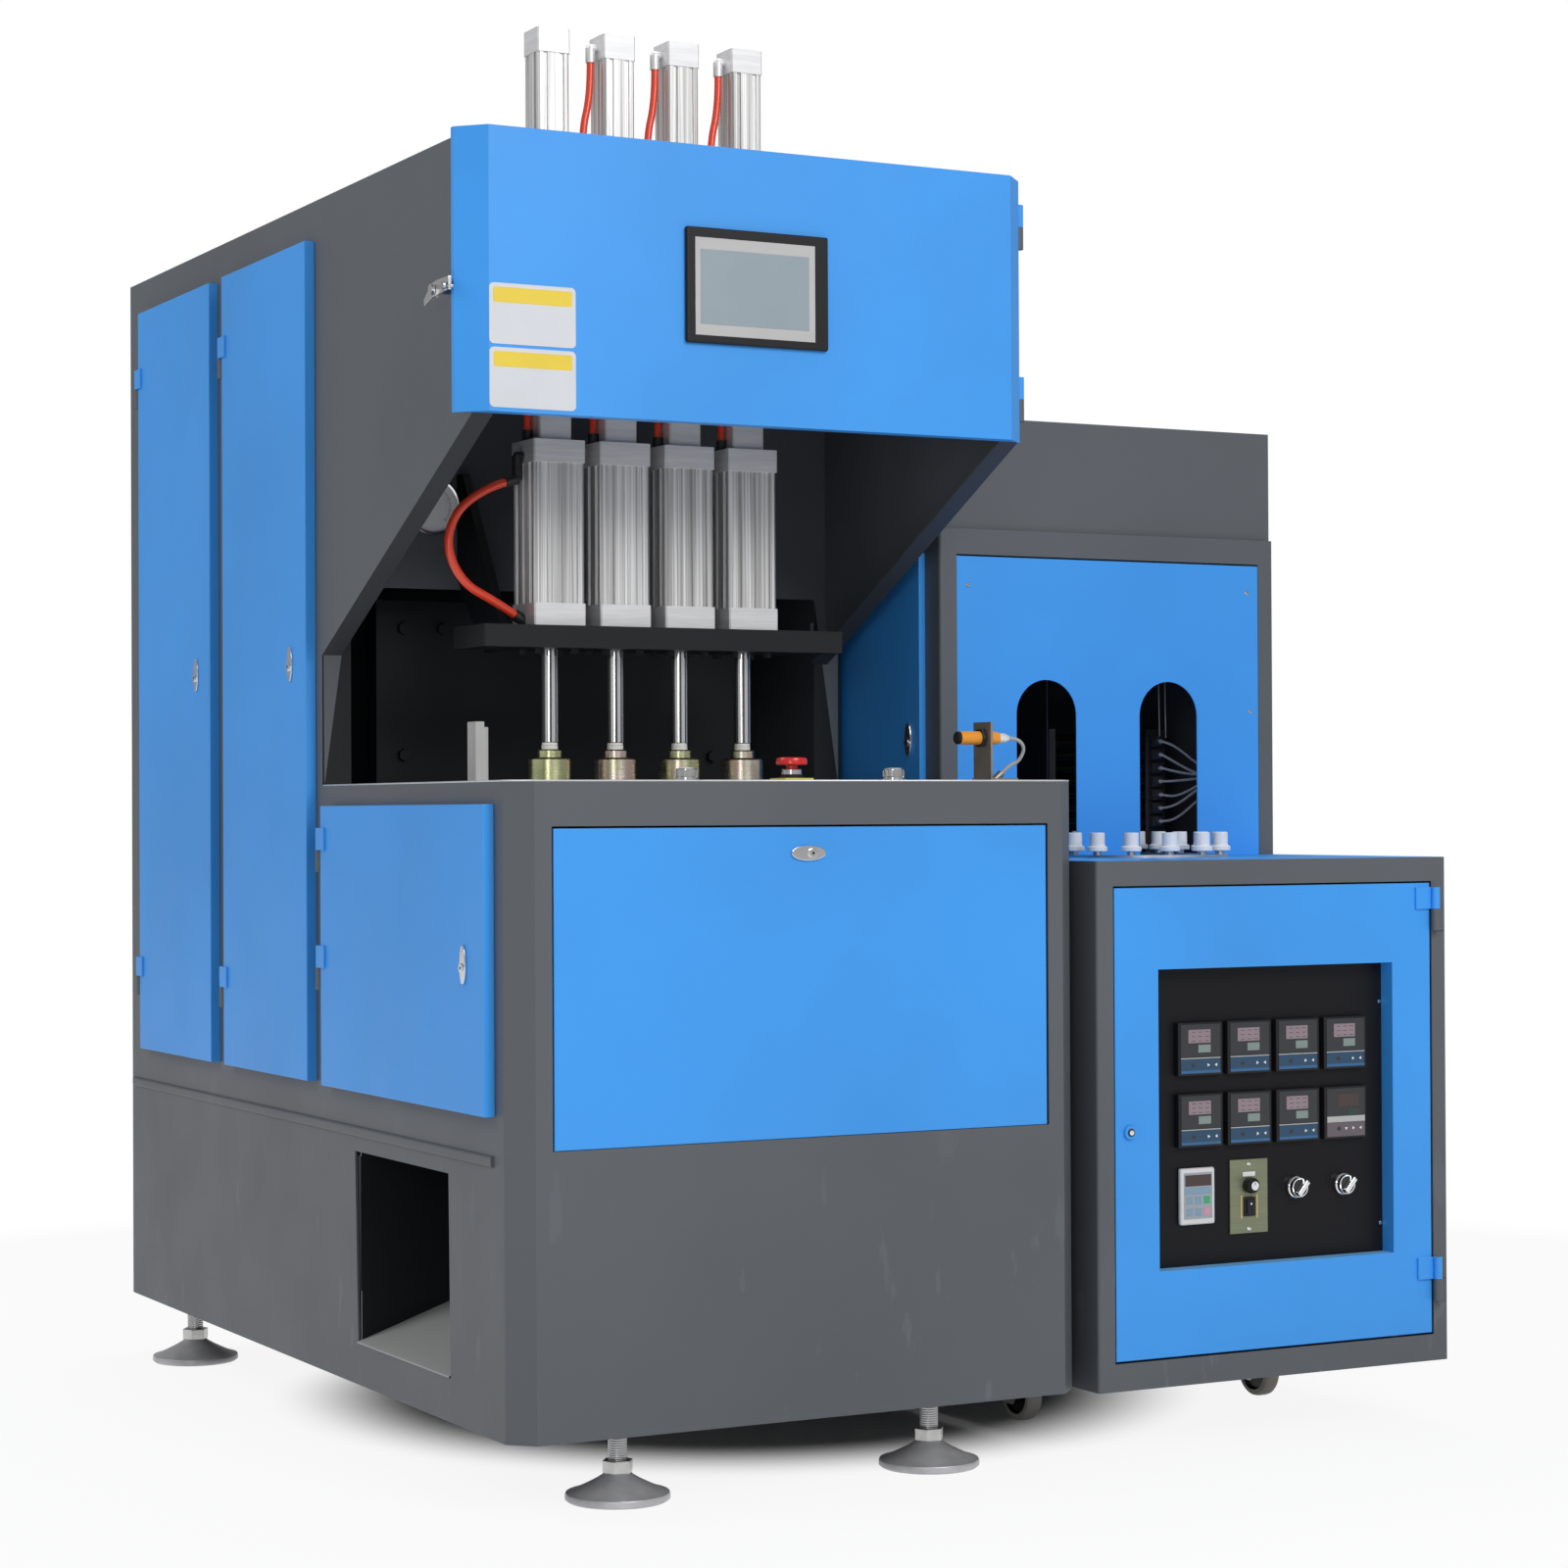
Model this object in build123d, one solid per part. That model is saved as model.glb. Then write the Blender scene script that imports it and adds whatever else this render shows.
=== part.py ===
from build123d import *
import math
import os

# Semi-automatic blow moulding machine: a blowing unit on levelling feet and the
# preform heating unit that belongs to it, on castors, side by side.
# Millimetres. X runs to the right, Y to the back and Z up from the floor.
# Everything is drawn from the blowing unit's front left corner and moved at the
# end, so that the part's own origin is the middle of its footprint on the floor.

# Blowing unit, overall
unit_width = 810.0
unit_depth = 1530.0
floor_gap = 95.0
table_z = 897.0
rear_y = 654.0
unit_top = 1702.0
sheet = 3.0
corner_leg = 29.0
seat_gap = 0.3
running_gap = 0.05

# Side doors: proud trays hung on their rear edges
door_proud = 15.0
door_sheet = 2.0
door_lap = 15.0
rear_door_y = (unit_depth - 437, unit_depth - 87)
middle_door_y = (rear_y + 25, rear_door_y[0] - 59)
tall_door_z = (490.0, 1647.0)
low_door_y = (57.0, 624.0)
low_door_z = (488.0, 868.0)
hinge_radius = 7.0
hinge_half = 30.0
hinge_pin_radius = 4.0
hinge_edge_gap = 8.5
hinge_leaf = 3.0
hinge_leaf_reach = 21.0
tall_hinge_z = (604.0, 1528.0)
low_hinge_z = (648.0, 808.0)
lock_long = 48.0
lock_wide = 17.0
lock_inset = 59.0
tall_lock_z = 1066.0
low_lock_z = 671.0

# Front panel, flush in its frame
panel_x = (54.0, unit_width - 54)
panel_z = (448.0, 838.0)
panel_depth = 15.0
panel_gap = 2.5
panel_lock_x = unit_width / 2 - 2
panel_lock_z = 805.0

# Bottle outlet in the left side
outlet_y = (201.0, 534.0)
outlet_z = (150.0, 406.0)
outlet_slant = 10.0
chute_end_x = unit_width - 110
chute_angle = 19.0
chute_sheet = 2.0

# Belt rail that runs along the left side above the skirt
rail_z = 433.0
rail_height = 14.0
rail_proud = 4.0
rail_front_y = 62.0

# Hood frame and hood cover
hood_left = -24.0
hood_right = unit_width - 17
hood_front_y = 86.0
hood_bottom_z = 1350.0
hood_leg = 33.0
hood_sheet = 2.0
hood_lip = 22.0
cheek_bottom_z = 1075.0
cheek_lip = 28.0
right_cheek_x = unit_width - 23
screen_x = (276.0, 480.0)
screen_z = (unit_top - 252, unit_top - 105)
screen_proud = 7.0
screen_body_depth = 38.0
screen_rim = 8.0
latch_y = 162.0
latch_z = unit_top - 196
keeper_y = 123.0

# Work area
station_count = 4
station_centre_x = unit_width / 2 - 9
station_pitch = 97.6
station_y = 450.0
plate_x = (station_centre_x - 266, station_centre_x + 276)
plate_y = (392.0, 500.0)
plate_z = (1078.0, 1108.0)
back_opening_x = (42.0, unit_width - 42)
back_opening_top = 1170.0

# Blow cylinders and stretch cylinders
blow_size = 74.0
blow_head = 31.0
blow_top_z = 1359.0
blow_bore = 31.5
stretch_size = 46.0
stretch_head = 33.0
stretch_top_z = unit_top + 214
stretch_bore = 16.0
head_extra = 2.0
blow_rod_radius = 11.5
blow_rod_bore = 6.0
stretch_rod_radius = 5.0
blow_rod_lift = 100.0
stretch_stroke = 345.0
stretch_tip_z = 1005.0
nozzle_bottom_z = 900.0
nozzle_cup = (27.5, 22.0)
nozzle_neck = (16.5, 21.0)
nozzle_seal = (10.0, 9.0)

# Clamp and mould
mould_x = (station_centre_x - 220, station_centre_x + 220)
mould_z = (600.0, 885.0)
mould_depth = 70.0
mould_gap = 0.3
platen_x = (unit_width / 2 - 285, unit_width / 2 + 285)
platen_bottom_z = 472.0
platen_depth = 40.0
clamp_stroke = 120.0
tie_radius = 18.0
tie_inset_x = 28.0
tie_inset_z = 36.0
bed_bar = 40.0
bed_z = (430.0, 470.0)
bed_y = (30.0, unit_depth - 350)
rear_platen_y = rear_y + 106
rear_platen_top = 1160.0
clamp_axis_z = 690.0
clamp_rod_radius = 20.0
clamp_bore = 62.5

# Controls on the table
control_y = 80.0
stop_x = station_centre_x + 27
start_x = (stop_x - 150, stop_x + 150)
sensor_x = (unit_width - 142, unit_width - 62)
bracket_x = sensor_x[0] + 40
sensor_z = 953.0
sensor_radius = 9.0
sensor_y = 80.0
stop_rail_x = (88.0, 100.0, 108.0)
stop_rail_y = (322.0, 350.0)
stop_rail_top = (976.0, 969.0)
rest_strip_x = (150.0, unit_width - 160)
rest_strip_y = (130.0, 385.0)
rest_strip = 1.5
gauge_x = 147.0
gauge_z = 1282.0
gauge_radius = 40.0

# Feet
foot_x = (180.0, unit_width - 180)
foot_y = 95.0
rear_foot_x = (60.0, unit_width - 60)
rear_foot_y = unit_depth - 130
foot_radius = 63.0
foot_stem_radius = 12.0

# Heating unit
heater_x = (unit_width + 24, unit_width + 604)
heater_depth = 1500.0
heater_bottom_z = 90.0
heater_table_z = 790.0
oven_front_y = 400.0
oven_ledge_z = 1260.0
oven_top_z = 1421.0
oven_setback = 10.0
oven_panel_x = (heater_x[0] + 28, heater_x[1] - 28)
oven_panel_top = 1221.0
arch_radius = 51.0
arch_spring_z = 995.0
heater_door_x = (heater_x[0] + 28, heater_x[1] - 28)
heater_door_z = (129.0, 754.0)
heater_door_depth = 18.0
window_x = (heater_door_x[0] + 69, heater_door_x[1] - 66)
window_z = (244.0, 645.0)
window_depth = 25.0
heater_hinge_z = (204.0, 718.0)
loop_centre_x = heater_x[0] + 284
loop_radius = 106.0
loop_front_y = 300.0
loop_rear_y = heater_depth - 120
carrier_count = 52
lamp_rows = 7
lamp_bottom_z = 840.0
lamp_pitch = 20.3
lamp_y = (552.0, heater_depth - 150)
lamp_offset = 192.0
caster_x = (heater_x[0] + 79, heater_x[1] - 93)
caster_front_y = 297.0
caster_rear_y = heater_depth - 200
wheel_radius = 37.5
wheel_width = 26.0
caster_trail = 22.0

# Values that follow from the ones above
station_x = [station_centre_x + (i - (station_count - 1) / 2) * station_pitch for i in range(station_count)]
hinge_axis_x = -door_proud + hinge_radius - hinge_leaf
plate_floor = table_z - 6.0
screen_centre = ((screen_x[0] + screen_x[1]) / 2, (screen_z[0] + screen_z[1]) / 2)
unit_middle = unit_width / 2
arch_x = (loop_centre_x - loop_radius, loop_centre_x + loop_radius)
platen_front_y = station_y + mould_gap / 2 + mould_depth
fixed_platen_back_y = station_y - mould_gap / 2 - mould_depth
tie_x = (platen_x[0] + tie_inset_x, platen_x[1] - tie_inset_x)
tie_z = (platen_bottom_z + tie_inset_z, mould_z[1] - tie_inset_z)
panel_seat_y = window_depth + 0.5

parts = {}


def block(x0, x1, y0, y1, z0, z1):
    """Box between two opposite corners."""
    return Pos(x0, y0, z0) * Box(x1 - x0, y1 - y0, z1 - z0, align=(Align.MIN, Align.MIN, Align.MIN))


def bar(start, end, radius):
    """Round bar from one point to another."""
    start = Vector(*start)
    run = Vector(*end) - start
    return Part() + Solid.make_cylinder(radius, run.length, Plane(origin=start, z_dir=run))


def profile_plate(points, plane, depth):
    """Plate from an outline of straight edges."""
    return extrude(plane * Polygon(*points, align=None), depth)


def side_plane(x):
    """Sketch plane whose first axis is Y and second is Z, facing +X."""
    return Plane(origin=(x, 0, 0), x_dir=(0, 1, 0), z_dir=(1, 0, 0))


def front_plane(y):
    """Sketch plane whose first axis is X and second is Z, facing -Y."""
    return Plane(origin=(0, y, 0), x_dir=(1, 0, 0), z_dir=(0, -1, 0))


def cut_corner_outline(inset):
    """Plan of the blowing unit's front cabinet, its two front corners cut off."""
    leg = corner_leg - inset * (2 - math.sqrt(2))
    left, right, front = inset, unit_width - inset, inset
    return [
        (left, front + leg),
        (left + leg, front),
        (right - leg, front),
        (right, front + leg),
        (right, rear_y),
        (left, rear_y),
    ]


def side_opening(y_range, z_range):
    """Hole behind a side door, smaller than the door by its lap."""
    return block(-1, sheet + 1, y_range[0] + door_lap, y_range[1] - door_lap,
                 z_range[0] + door_lap, z_range[1] - door_lap)


def belt_rail(y0, y1):
    """Rounded rail on the left side."""
    rail = block(-rail_proud, 0, y0, y1, rail_z - rail_height / 2, rail_z + rail_height / 2)
    outer = rail.edges().filter_by(Axis.Y).sort_by(Axis.X)[:2]
    return fillet(outer, rail_proud - 0.5)


def foot_pad(x, y):
    """Plate inside the cabinet that a levelling foot screws into."""
    half = 45.0
    pad = block(x - half, x + half, y - half, y + half, floor_gap, floor_gap + 8)
    return pad - bar((x, y, floor_gap - 1), (x, y, floor_gap + 9), foot_stem_radius + running_gap)


def make_front_cabinet():
    height = table_z - floor_gap
    shell = extrude(Plane.XY.offset(floor_gap) * Polygon(*cut_corner_outline(0), align=None), height)
    hollow = Plane.XY.offset(floor_gap - 1) * Polygon(*cut_corner_outline(sheet), align=None)
    shell -= extrude(hollow, height + 2)
    shell -= side_opening(low_door_y, low_door_z)
    shell -= block(panel_x[0] - panel_gap, panel_x[1] + panel_gap, -1, sheet + 1,
                   panel_z[0] - seat_gap, panel_z[1] + panel_gap)
    outlet = [
        (outlet_y[0], outlet_z[0]),
        (outlet_y[1] - outlet_slant, outlet_z[0]),
        (outlet_y[1], outlet_z[1]),
        (outlet_y[0] + outlet_slant / 2, outlet_z[1]),
    ]
    shell -= profile_plate(outlet, side_plane(-1), sheet + 2)
    shell += belt_rail(rail_front_y, rear_y)
    # Shelf that the table plate lies on, and a skirt flange at the bottom
    shelf = 30.0
    for z, thick in ((plate_floor - sheet, sheet), (floor_gap, sheet)):
        ring = Plane.XY.offset(z) * (Polygon(*cut_corner_outline(sheet - 0.01), align=None))
        flange = extrude(ring, thick)
        flange -= block(shelf, unit_width - shelf, shelf + 4, rear_y + 1, z - 1, z + thick + 1)
        shell += flange
    # Sill that the front panel stands on
    shell += block(panel_x[0] - panel_gap, panel_x[1] + panel_gap, 0.5, 24,
                   panel_z[0] - seat_gap - sheet, panel_z[0] - seat_gap)
    # Cross members under the clamp's bed
    for y in (bed_y[0] + 30, rear_y - 94):
        shell += block(sheet - 0.01, unit_width - sheet + 0.01, y, y + 40, bed_z[0] - 40, bed_z[0])
    for x in foot_x:
        shell += foot_pad(x, foot_y)
    # Foot rails that carry the pads across the cabinet
    shell += block(sheet, unit_width - sheet, foot_y + 45, foot_y + 75, floor_gap, floor_gap + 8)
    return shell


def make_rear_cabinet():
    shell = block(0, unit_width, rear_y, unit_depth, floor_gap, unit_top)
    shell -= block(sheet, unit_width - sheet, rear_y + sheet, unit_depth - sheet, floor_gap - 1, unit_top - sheet)
    # The front is open to the clamp below the table and behind the work area
    shell -= block(sheet, unit_width - sheet, rear_y - 1, rear_y + sheet + 1, floor_gap - 1, table_z)
    shell -= block(*back_opening_x, rear_y - 1, rear_y + sheet + 1, table_z - 1, back_opening_top)
    shell -= side_opening(rear_door_y, tall_door_z)
    shell -= side_opening(middle_door_y, tall_door_z)
    shell += belt_rail(rear_y, unit_depth - 12)
    # Cooling slots in the back
    slot_rows = 8
    for row in range(slot_rows):
        z = tall_door_z[0] + 70 + row * 22
        for x in (unit_middle - 155, unit_middle + 155):
            shell -= block(x - 70, x + 70, unit_depth - sheet - 1, unit_depth + 1, z, z + 8)
    # Post between the two doors and cross members for the bed and the feet
    post_y = (middle_door_y[1] + rear_door_y[0]) / 2
    shell += block(sheet - 0.01, 30, post_y - 13, post_y + 13, floor_gap, unit_top - sheet + 0.01)
    shell += block(sheet - 0.01, unit_width - sheet + 0.01, bed_y[1] - 70, bed_y[1] - 30, bed_z[0] - 40, bed_z[0])
    for x in rear_foot_x:
        shell += foot_pad(x, rear_foot_y)
    shell += block(sheet - 0.01, unit_width - sheet + 0.01, rear_foot_y + 45, rear_foot_y + 75,
                   floor_gap, floor_gap + 8)
    return shell


def make_hood_frame():
    """Two cheeks with turned-in lips, and a roof with a slot for the cylinders."""
    front = hood_front_y + hood_leg + 2
    cheek = [(front, hood_bottom_z), (rear_y, cheek_bottom_z), (rear_y, unit_top), (front, unit_top)]
    lip = [
        (front, hood_bottom_z),
        (rear_y, cheek_bottom_z),
        (rear_y, cheek_bottom_z + sheet * 1.12),
        (front, hood_bottom_z + sheet * 1.12),
    ]
    frame = profile_plate(cheek, side_plane(0), sheet)
    frame += profile_plate(lip, side_plane(0), cheek_lip)
    frame += profile_plate(cheek, side_plane(right_cheek_x), sheet)
    frame += profile_plate(lip, side_plane(right_cheek_x + sheet - cheek_lip), cheek_lip)
    roof = block(0, right_cheek_x + sheet, front, rear_y, unit_top - sheet, unit_top)
    roof -= block(station_x[0] - 60, station_x[-1] + 60, station_y - 60, station_y + 70,
                  unit_top - sheet - 1, unit_top + 1)
    frame += roof
    for x0 in (0, right_cheek_x + sheet - cheek_lip):
        frame += block(x0, x0 + cheek_lip, front, front + sheet, hood_bottom_z, unit_top)
    # Latch stud on the left cheek
    reach = -hood_left + 14
    frame += bar((0.5, latch_y, latch_z), (-reach, latch_y, latch_z), 4.0)
    frame += bar((0.5, latch_y, latch_z), (-reach + 9.5, latch_y, latch_z), 9.0)
    frame += bar((-reach + 4.5, latch_y, latch_z), (-reach, latch_y, latch_z), 7.0)
    # Hinge knuckles of the hood cover on the right cheek
    for z in hood_hinge_z():
        knuckle = bar((hood_hinge_x, hood_hinge_y, z - hinge_half), (hood_hinge_x, hood_hinge_y, z - seat_gap), 6.0)
        knuckle += bar((hood_hinge_x, hood_hinge_y, z - hinge_half), (hood_hinge_x, hood_hinge_y, z + hinge_half),
                       hinge_pin_radius - 1)
        arm = block(right_cheek_x + sheet - 0.5, hood_hinge_x, hood_hinge_y - 0.5, hood_hinge_y + 12,
                    z - hinge_half, z - seat_gap)
        frame += knuckle + arm
    return frame


hood_hinge_x = hood_right + 6.5
hood_hinge_y = hood_front_y + hood_leg + 10.0


def hood_hinge_z():
    return (hood_bottom_z + 60, unit_top - 60)


def hood_outline(inset):
    """Plan of the hood cover's front sheet with its two turned corners."""
    turn = inset * (math.sqrt(2) - 1)
    back = hood_front_y + hood_leg
    return [
        (hood_left + inset, back + turn),
        (hood_left + hood_leg + turn, hood_front_y + inset),
        (hood_right - hood_leg - turn, hood_front_y + inset),
        (hood_right - inset, back + turn),
    ]


def make_hood_cover():
    height = unit_top - hood_bottom_z
    back = hood_front_y + hood_leg
    outer = [(hood_left, back + 8)] + hood_outline(0) + [(hood_right, back + 8)]
    inner = [(hood_left + hood_sheet, back + 9)] + hood_outline(hood_sheet) + [(hood_right - hood_sheet, back + 9)]
    solid = extrude(Plane.XY.offset(hood_bottom_z) * Polygon(*outer, align=None), height)
    hollow = extrude(Plane.XY.offset(hood_bottom_z - 1) * Polygon(*inner, align=None), height + 2)
    cover = solid - hollow
    # Turned-in edges along the bottom and the top
    inside = Polygon(*inner, align=None)
    for z in (hood_bottom_z, unit_top - hood_sheet):
        lip = extrude(Plane.XY.offset(z) * inside, hood_sheet)
        cover += lip - block(hood_left, hood_right, hood_front_y + hood_lip, back + 20, z - 1, z + hood_sheet + 1)
    # Cut-out for the touch screen
    cut = screen_rim + 4
    cover -= block(screen_x[0] + cut, screen_x[1] - cut, hood_front_y - 1, hood_front_y + hood_sheet + 1,
                   screen_z[0] + cut, screen_z[1] - cut)
    # Keeper stud for the latch
    cover += bar((hood_left + 0.5, keeper_y, latch_z), (hood_left - 14, keeper_y, latch_z), 3.0)
    cover += bar((hood_left - 11, keeper_y, latch_z), (hood_left - 14, keeper_y, latch_z), 5.0)
    # Upper knuckles, turning on the frame's pins
    for z in hood_hinge_z():
        knuckle = bar((hood_hinge_x, hood_hinge_y, z), (hood_hinge_x, hood_hinge_y, z + hinge_half), 6.0)
        arm = block(hood_right - 1, hood_hinge_x, hood_hinge_y - 6, hood_hinge_y - 2.5, z, z + hinge_half)
        knuckle += arm
        knuckle -= bar((hood_hinge_x, hood_hinge_y, z - 1), (hood_hinge_x, hood_hinge_y, z + hinge_half + 1),
                       hinge_pin_radius - 1 + running_gap)
        cover += knuckle
    return cover


def make_touch_screen():
    front = hood_front_y - screen_proud
    bezel = block(*screen_x, front, hood_front_y, *screen_z)
    bezel = fillet(bezel.edges().filter_by(Axis.Y), 4)
    bezel -= block(screen_x[0] + 22, screen_x[1] - 12, front - 1, front + 1.5, screen_z[0] + 14, screen_z[1] - 10)
    cut = screen_rim + 4.5
    return bezel + block(screen_x[0] + cut, screen_x[1] - cut, hood_front_y - 1, hood_front_y + screen_body_depth,
                         screen_z[0] + cut, screen_z[1] - cut)


def make_hood_latch():
    """Hook lever on the cheek's stud, over the cover's keeper stud."""
    x1 = hood_left - 5
    x0 = x1 - 4.0
    arm = [
        (keeper_y - 9, latch_z + 11),
        (keeper_y - 9, latch_z - 6),
        (keeper_y - 5, latch_z - 6),
        (keeper_y - 5, latch_z + 3.5),
        (keeper_y + 5, latch_z + 3.5),
        (keeper_y + 5, latch_z - 5),
        (latch_y - 6, latch_z - 8),
        (latch_y + 6, latch_z - 8),
        (latch_y + 32, latch_z - 16),
        (latch_y + 34, latch_z - 8),
        (latch_y + 8, latch_z + 9),
        (latch_y - 8, latch_z + 11),
    ]
    lever = profile_plate(arm, side_plane(x0), x1 - x0)
    return lever - bar((x0 - 1, latch_y, latch_z), (x1 + 1, latch_y, latch_z), 4.0 + running_gap)


def lock_plate(centre, long_side, wide_side, plane_y=None):
    """Oval lock plate with a raised turning boss, on a side door or the front panel."""
    a, b = long_side / 2, wide_side / 2
    if plane_y is None:
        y, z = centre
        plate = extrude(side_plane(-door_proud) * Pos(y, z) * Ellipse(b, a), -3)
        boss = bar((-door_proud - 5, y, z - 4), (-door_proud - 1, y, z - 4), 5.5)
        barrel = bar((-door_proud + 1, y, z - 4), (sheet + 5, y, z - 4), 8.0)
        cam = block(sheet + 2, sheet + 5, y - 8, y + 8, z - 4, z + 26)
        return plate + boss + barrel + cam
    x, z = centre
    plate = extrude(front_plane(plane_y) * Pos(x, z) * Ellipse(a, b), 3)
    boss = bar((x + 5, plane_y - 5, z), (x + 5, plane_y - 1, z), 5.5)
    barrel = bar((x + 5, plane_y + 1, z), (x + 5, plane_y + 24, z), 8.0)
    cam = block(x + 5, x + 35, plane_y + 21, plane_y + 24, z - 8, z + 8)
    return plate + boss + barrel + cam


def make_side_door(y_range, z_range, hinge_levels, lock_z):
    y0, y1 = y_range
    z0, z1 = z_range
    door = block(-door_proud, -seat_gap, y0, y1, z0, z1)
    door = fillet(door.edges().group_by(Axis.X)[0], 1.5)
    door -= block(-door_proud + door_sheet, 1, y0 + door_sheet, y1 - door_sheet, z0 + door_sheet, z1 - door_sheet)
    door += lock_plate((y0 + lock_inset, lock_z), lock_long, lock_wide)
    axis_y = y1 + hinge_edge_gap
    for z in hinge_levels:
        knuckle = bar((hinge_axis_x, axis_y, z), (hinge_axis_x, axis_y, z + hinge_half), hinge_radius)
        knuckle += block(-door_proud - hinge_leaf, -door_proud + 0.5, y1 - hinge_leaf_reach, axis_y, z, z + hinge_half)
        knuckle -= bar((hinge_axis_x, axis_y, z - 1), (hinge_axis_x, axis_y, z + hinge_half + 1),
                       hinge_pin_radius + running_gap)
        door += knuckle
    return door


def door_hinge_base(y_range, z):
    """Lower half of a barrel hinge with its pin, welded to the cabinet's side."""
    axis_y = y_range[1] + hinge_edge_gap
    base = bar((hinge_axis_x, axis_y, z - hinge_half), (hinge_axis_x, axis_y, z - seat_gap), hinge_radius)
    base += bar((hinge_axis_x, axis_y, z - hinge_half), (hinge_axis_x, axis_y, z + hinge_half), hinge_pin_radius)
    base += block(-hinge_leaf, 0, axis_y - 4, axis_y + hinge_leaf_reach, z - hinge_half, z - seat_gap)
    base += block(hinge_axis_x, -hinge_leaf + 0.5, axis_y - 3, axis_y + 3, z - hinge_half, z - seat_gap)
    return base


def make_door_hinges():
    hinges = Part()
    for y_range, levels in ((rear_door_y, tall_hinge_z), (middle_door_y, tall_hinge_z), (low_door_y, low_hinge_z)):
        for z in levels:
            hinges += door_hinge_base(y_range, z)
    return hinges


def make_front_panel():
    face_y = 0.5
    x0, x1 = panel_x
    z0, z1 = panel_z
    panel = block(x0, x1, face_y, face_y + panel_depth, z0, z1)
    panel = fillet(panel.edges().group_by(Axis.Y)[0], 1.5)
    panel -= block(x0 + door_sheet, x1 - door_sheet, face_y + door_sheet, face_y + panel_depth + 1,
                   z0 + door_sheet, z1 - door_sheet)
    return panel + lock_plate((panel_lock_x, panel_lock_z), lock_long, 19.0, face_y)


def make_table_plate():
    edge = sheet + 0.5
    plate = extrude(Plane.XY.offset(plate_floor) * Polygon(*cut_corner_outline(edge), align=None),
                    table_z - plate_floor)
    slot_half = station_pitch * (station_count - 1) / 2
    slot = SlotCenterToCenter(2 * slot_half, 72)
    plate -= extrude(Plane.XY.offset(plate_floor - 1) * Pos(station_centre_x, station_y) * slot, 8)
    for x in (*start_x, stop_x):
        plate -= bar((x, control_y, plate_floor - 1), (x, control_y, table_z + 1), 11.2)
    # Upright two-piece stop rail at the left
    x0, x1, x2 = stop_rail_x
    y0, y1 = stop_rail_y
    plate += block(x0, x1, y0, y1, table_z - 1, stop_rail_top[0])
    plate += block(x1, x2, y0 + 6, y1 - 6, table_z - 1, stop_rail_top[1])
    # Thin rest strip in front of the slot, where the operator puts preforms down
    return plate + block(*rest_strip_x, *rest_strip_y, table_z - 1, table_z + rest_strip)


def make_chute():
    """Folded trough that lets finished bottles slide out to the left."""
    rise = math.tan(math.radians(chute_angle))
    start_x, end_x = -2.0, chute_end_x
    y0, y1 = outlet_y[0] + 1.0, outlet_y[1] - outlet_slant - 1.0
    z0 = outlet_z[0] + 0.5
    floor = [
        (start_x, z0),
        (end_x, z0 + rise * (end_x - start_x)),
        (end_x, z0 + rise * (end_x - start_x) + chute_sheet),
        (start_x, z0 + chute_sheet),
    ]
    inside_x = sheet + 1.0
    wall = [
        (inside_x, z0 + rise * (inside_x - start_x)),
        (end_x, z0 + rise * (end_x - start_x)),
        (end_x, outlet_z[1] + 4),
        (inside_x, outlet_z[1] + 4),
    ]
    chute = profile_plate(floor, front_plane(y1), y1 - y0)
    for y in (y0 + chute_sheet, y1):
        chute += profile_plate(wall, front_plane(y), chute_sheet)
    # Tabs that are bolted to the inside of the cabinet's wall
    chute += block(sheet, inside_x + 1, y0 - 14, y0 + chute_sheet, 220, 400)
    chute += block(sheet, inside_x + 1, y1 - chute_sheet, y1 + 24, 220, 400)
    return chute


def grooved_square(size, groove_width, groove_depth, grooves):
    """Outline of an extruded cylinder tube: a square with grooves along each side."""
    half = size / 2
    corner = size * 0.06
    side = [(-half + corner, -half)]
    for centre in grooves:
        side += [
            (centre - groove_width / 2, -half),
            (centre - groove_width / 2 + 0.8, -half + groove_depth),
            (centre + groove_width / 2 - 0.8, -half + groove_depth),
            (centre + groove_width / 2, -half),
        ]
    side += [(half - corner, -half)]
    outline = []
    for quarter in range(4):
        turn = math.radians(90 * quarter)
        outline += [
            (x * math.cos(turn) - y * math.sin(turn), x * math.sin(turn) + y * math.cos(turn)) for x, y in side
        ]
    return Polygon(*outline, align=None)


def square_cylinder(x, y, z0, z1, size, head, bore, rod_hole, top_hole, groove):
    """Cylinder with an extruded tube between two square heads."""
    tube = extrude(Plane.XY.offset(z0 + head) * Pos(x, y) * grooved_square(size, *groove), z1 - z0 - 2 * head)
    half = size / 2 + head_extra / 2
    for low in (z0, z1 - head):
        block_head = block(x - half, x + half, y - half, y + half, low, low + head)
        tube += chamfer(block_head.edges().filter_by(Axis.Z), 2)
    tube -= bar((x, y, z0 + head), (x, y, z1 - head), bore)
    tube -= bar((x, y, z0 - 1), (x, y, z0 + head + 1), rod_hole)
    if top_hole:
        tube -= bar((x, y, z1 - head - 1), (x, y, z1 + 1), top_hole)
    return tube


def elbow_fitting(start, corner, end, radius):
    """Push-in elbow: a stub out of the head and a socket for the hose."""
    return bar(start, corner, radius) + Pos(*corner) * Sphere(radius) + bar(corner, end, radius + 1)


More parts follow.
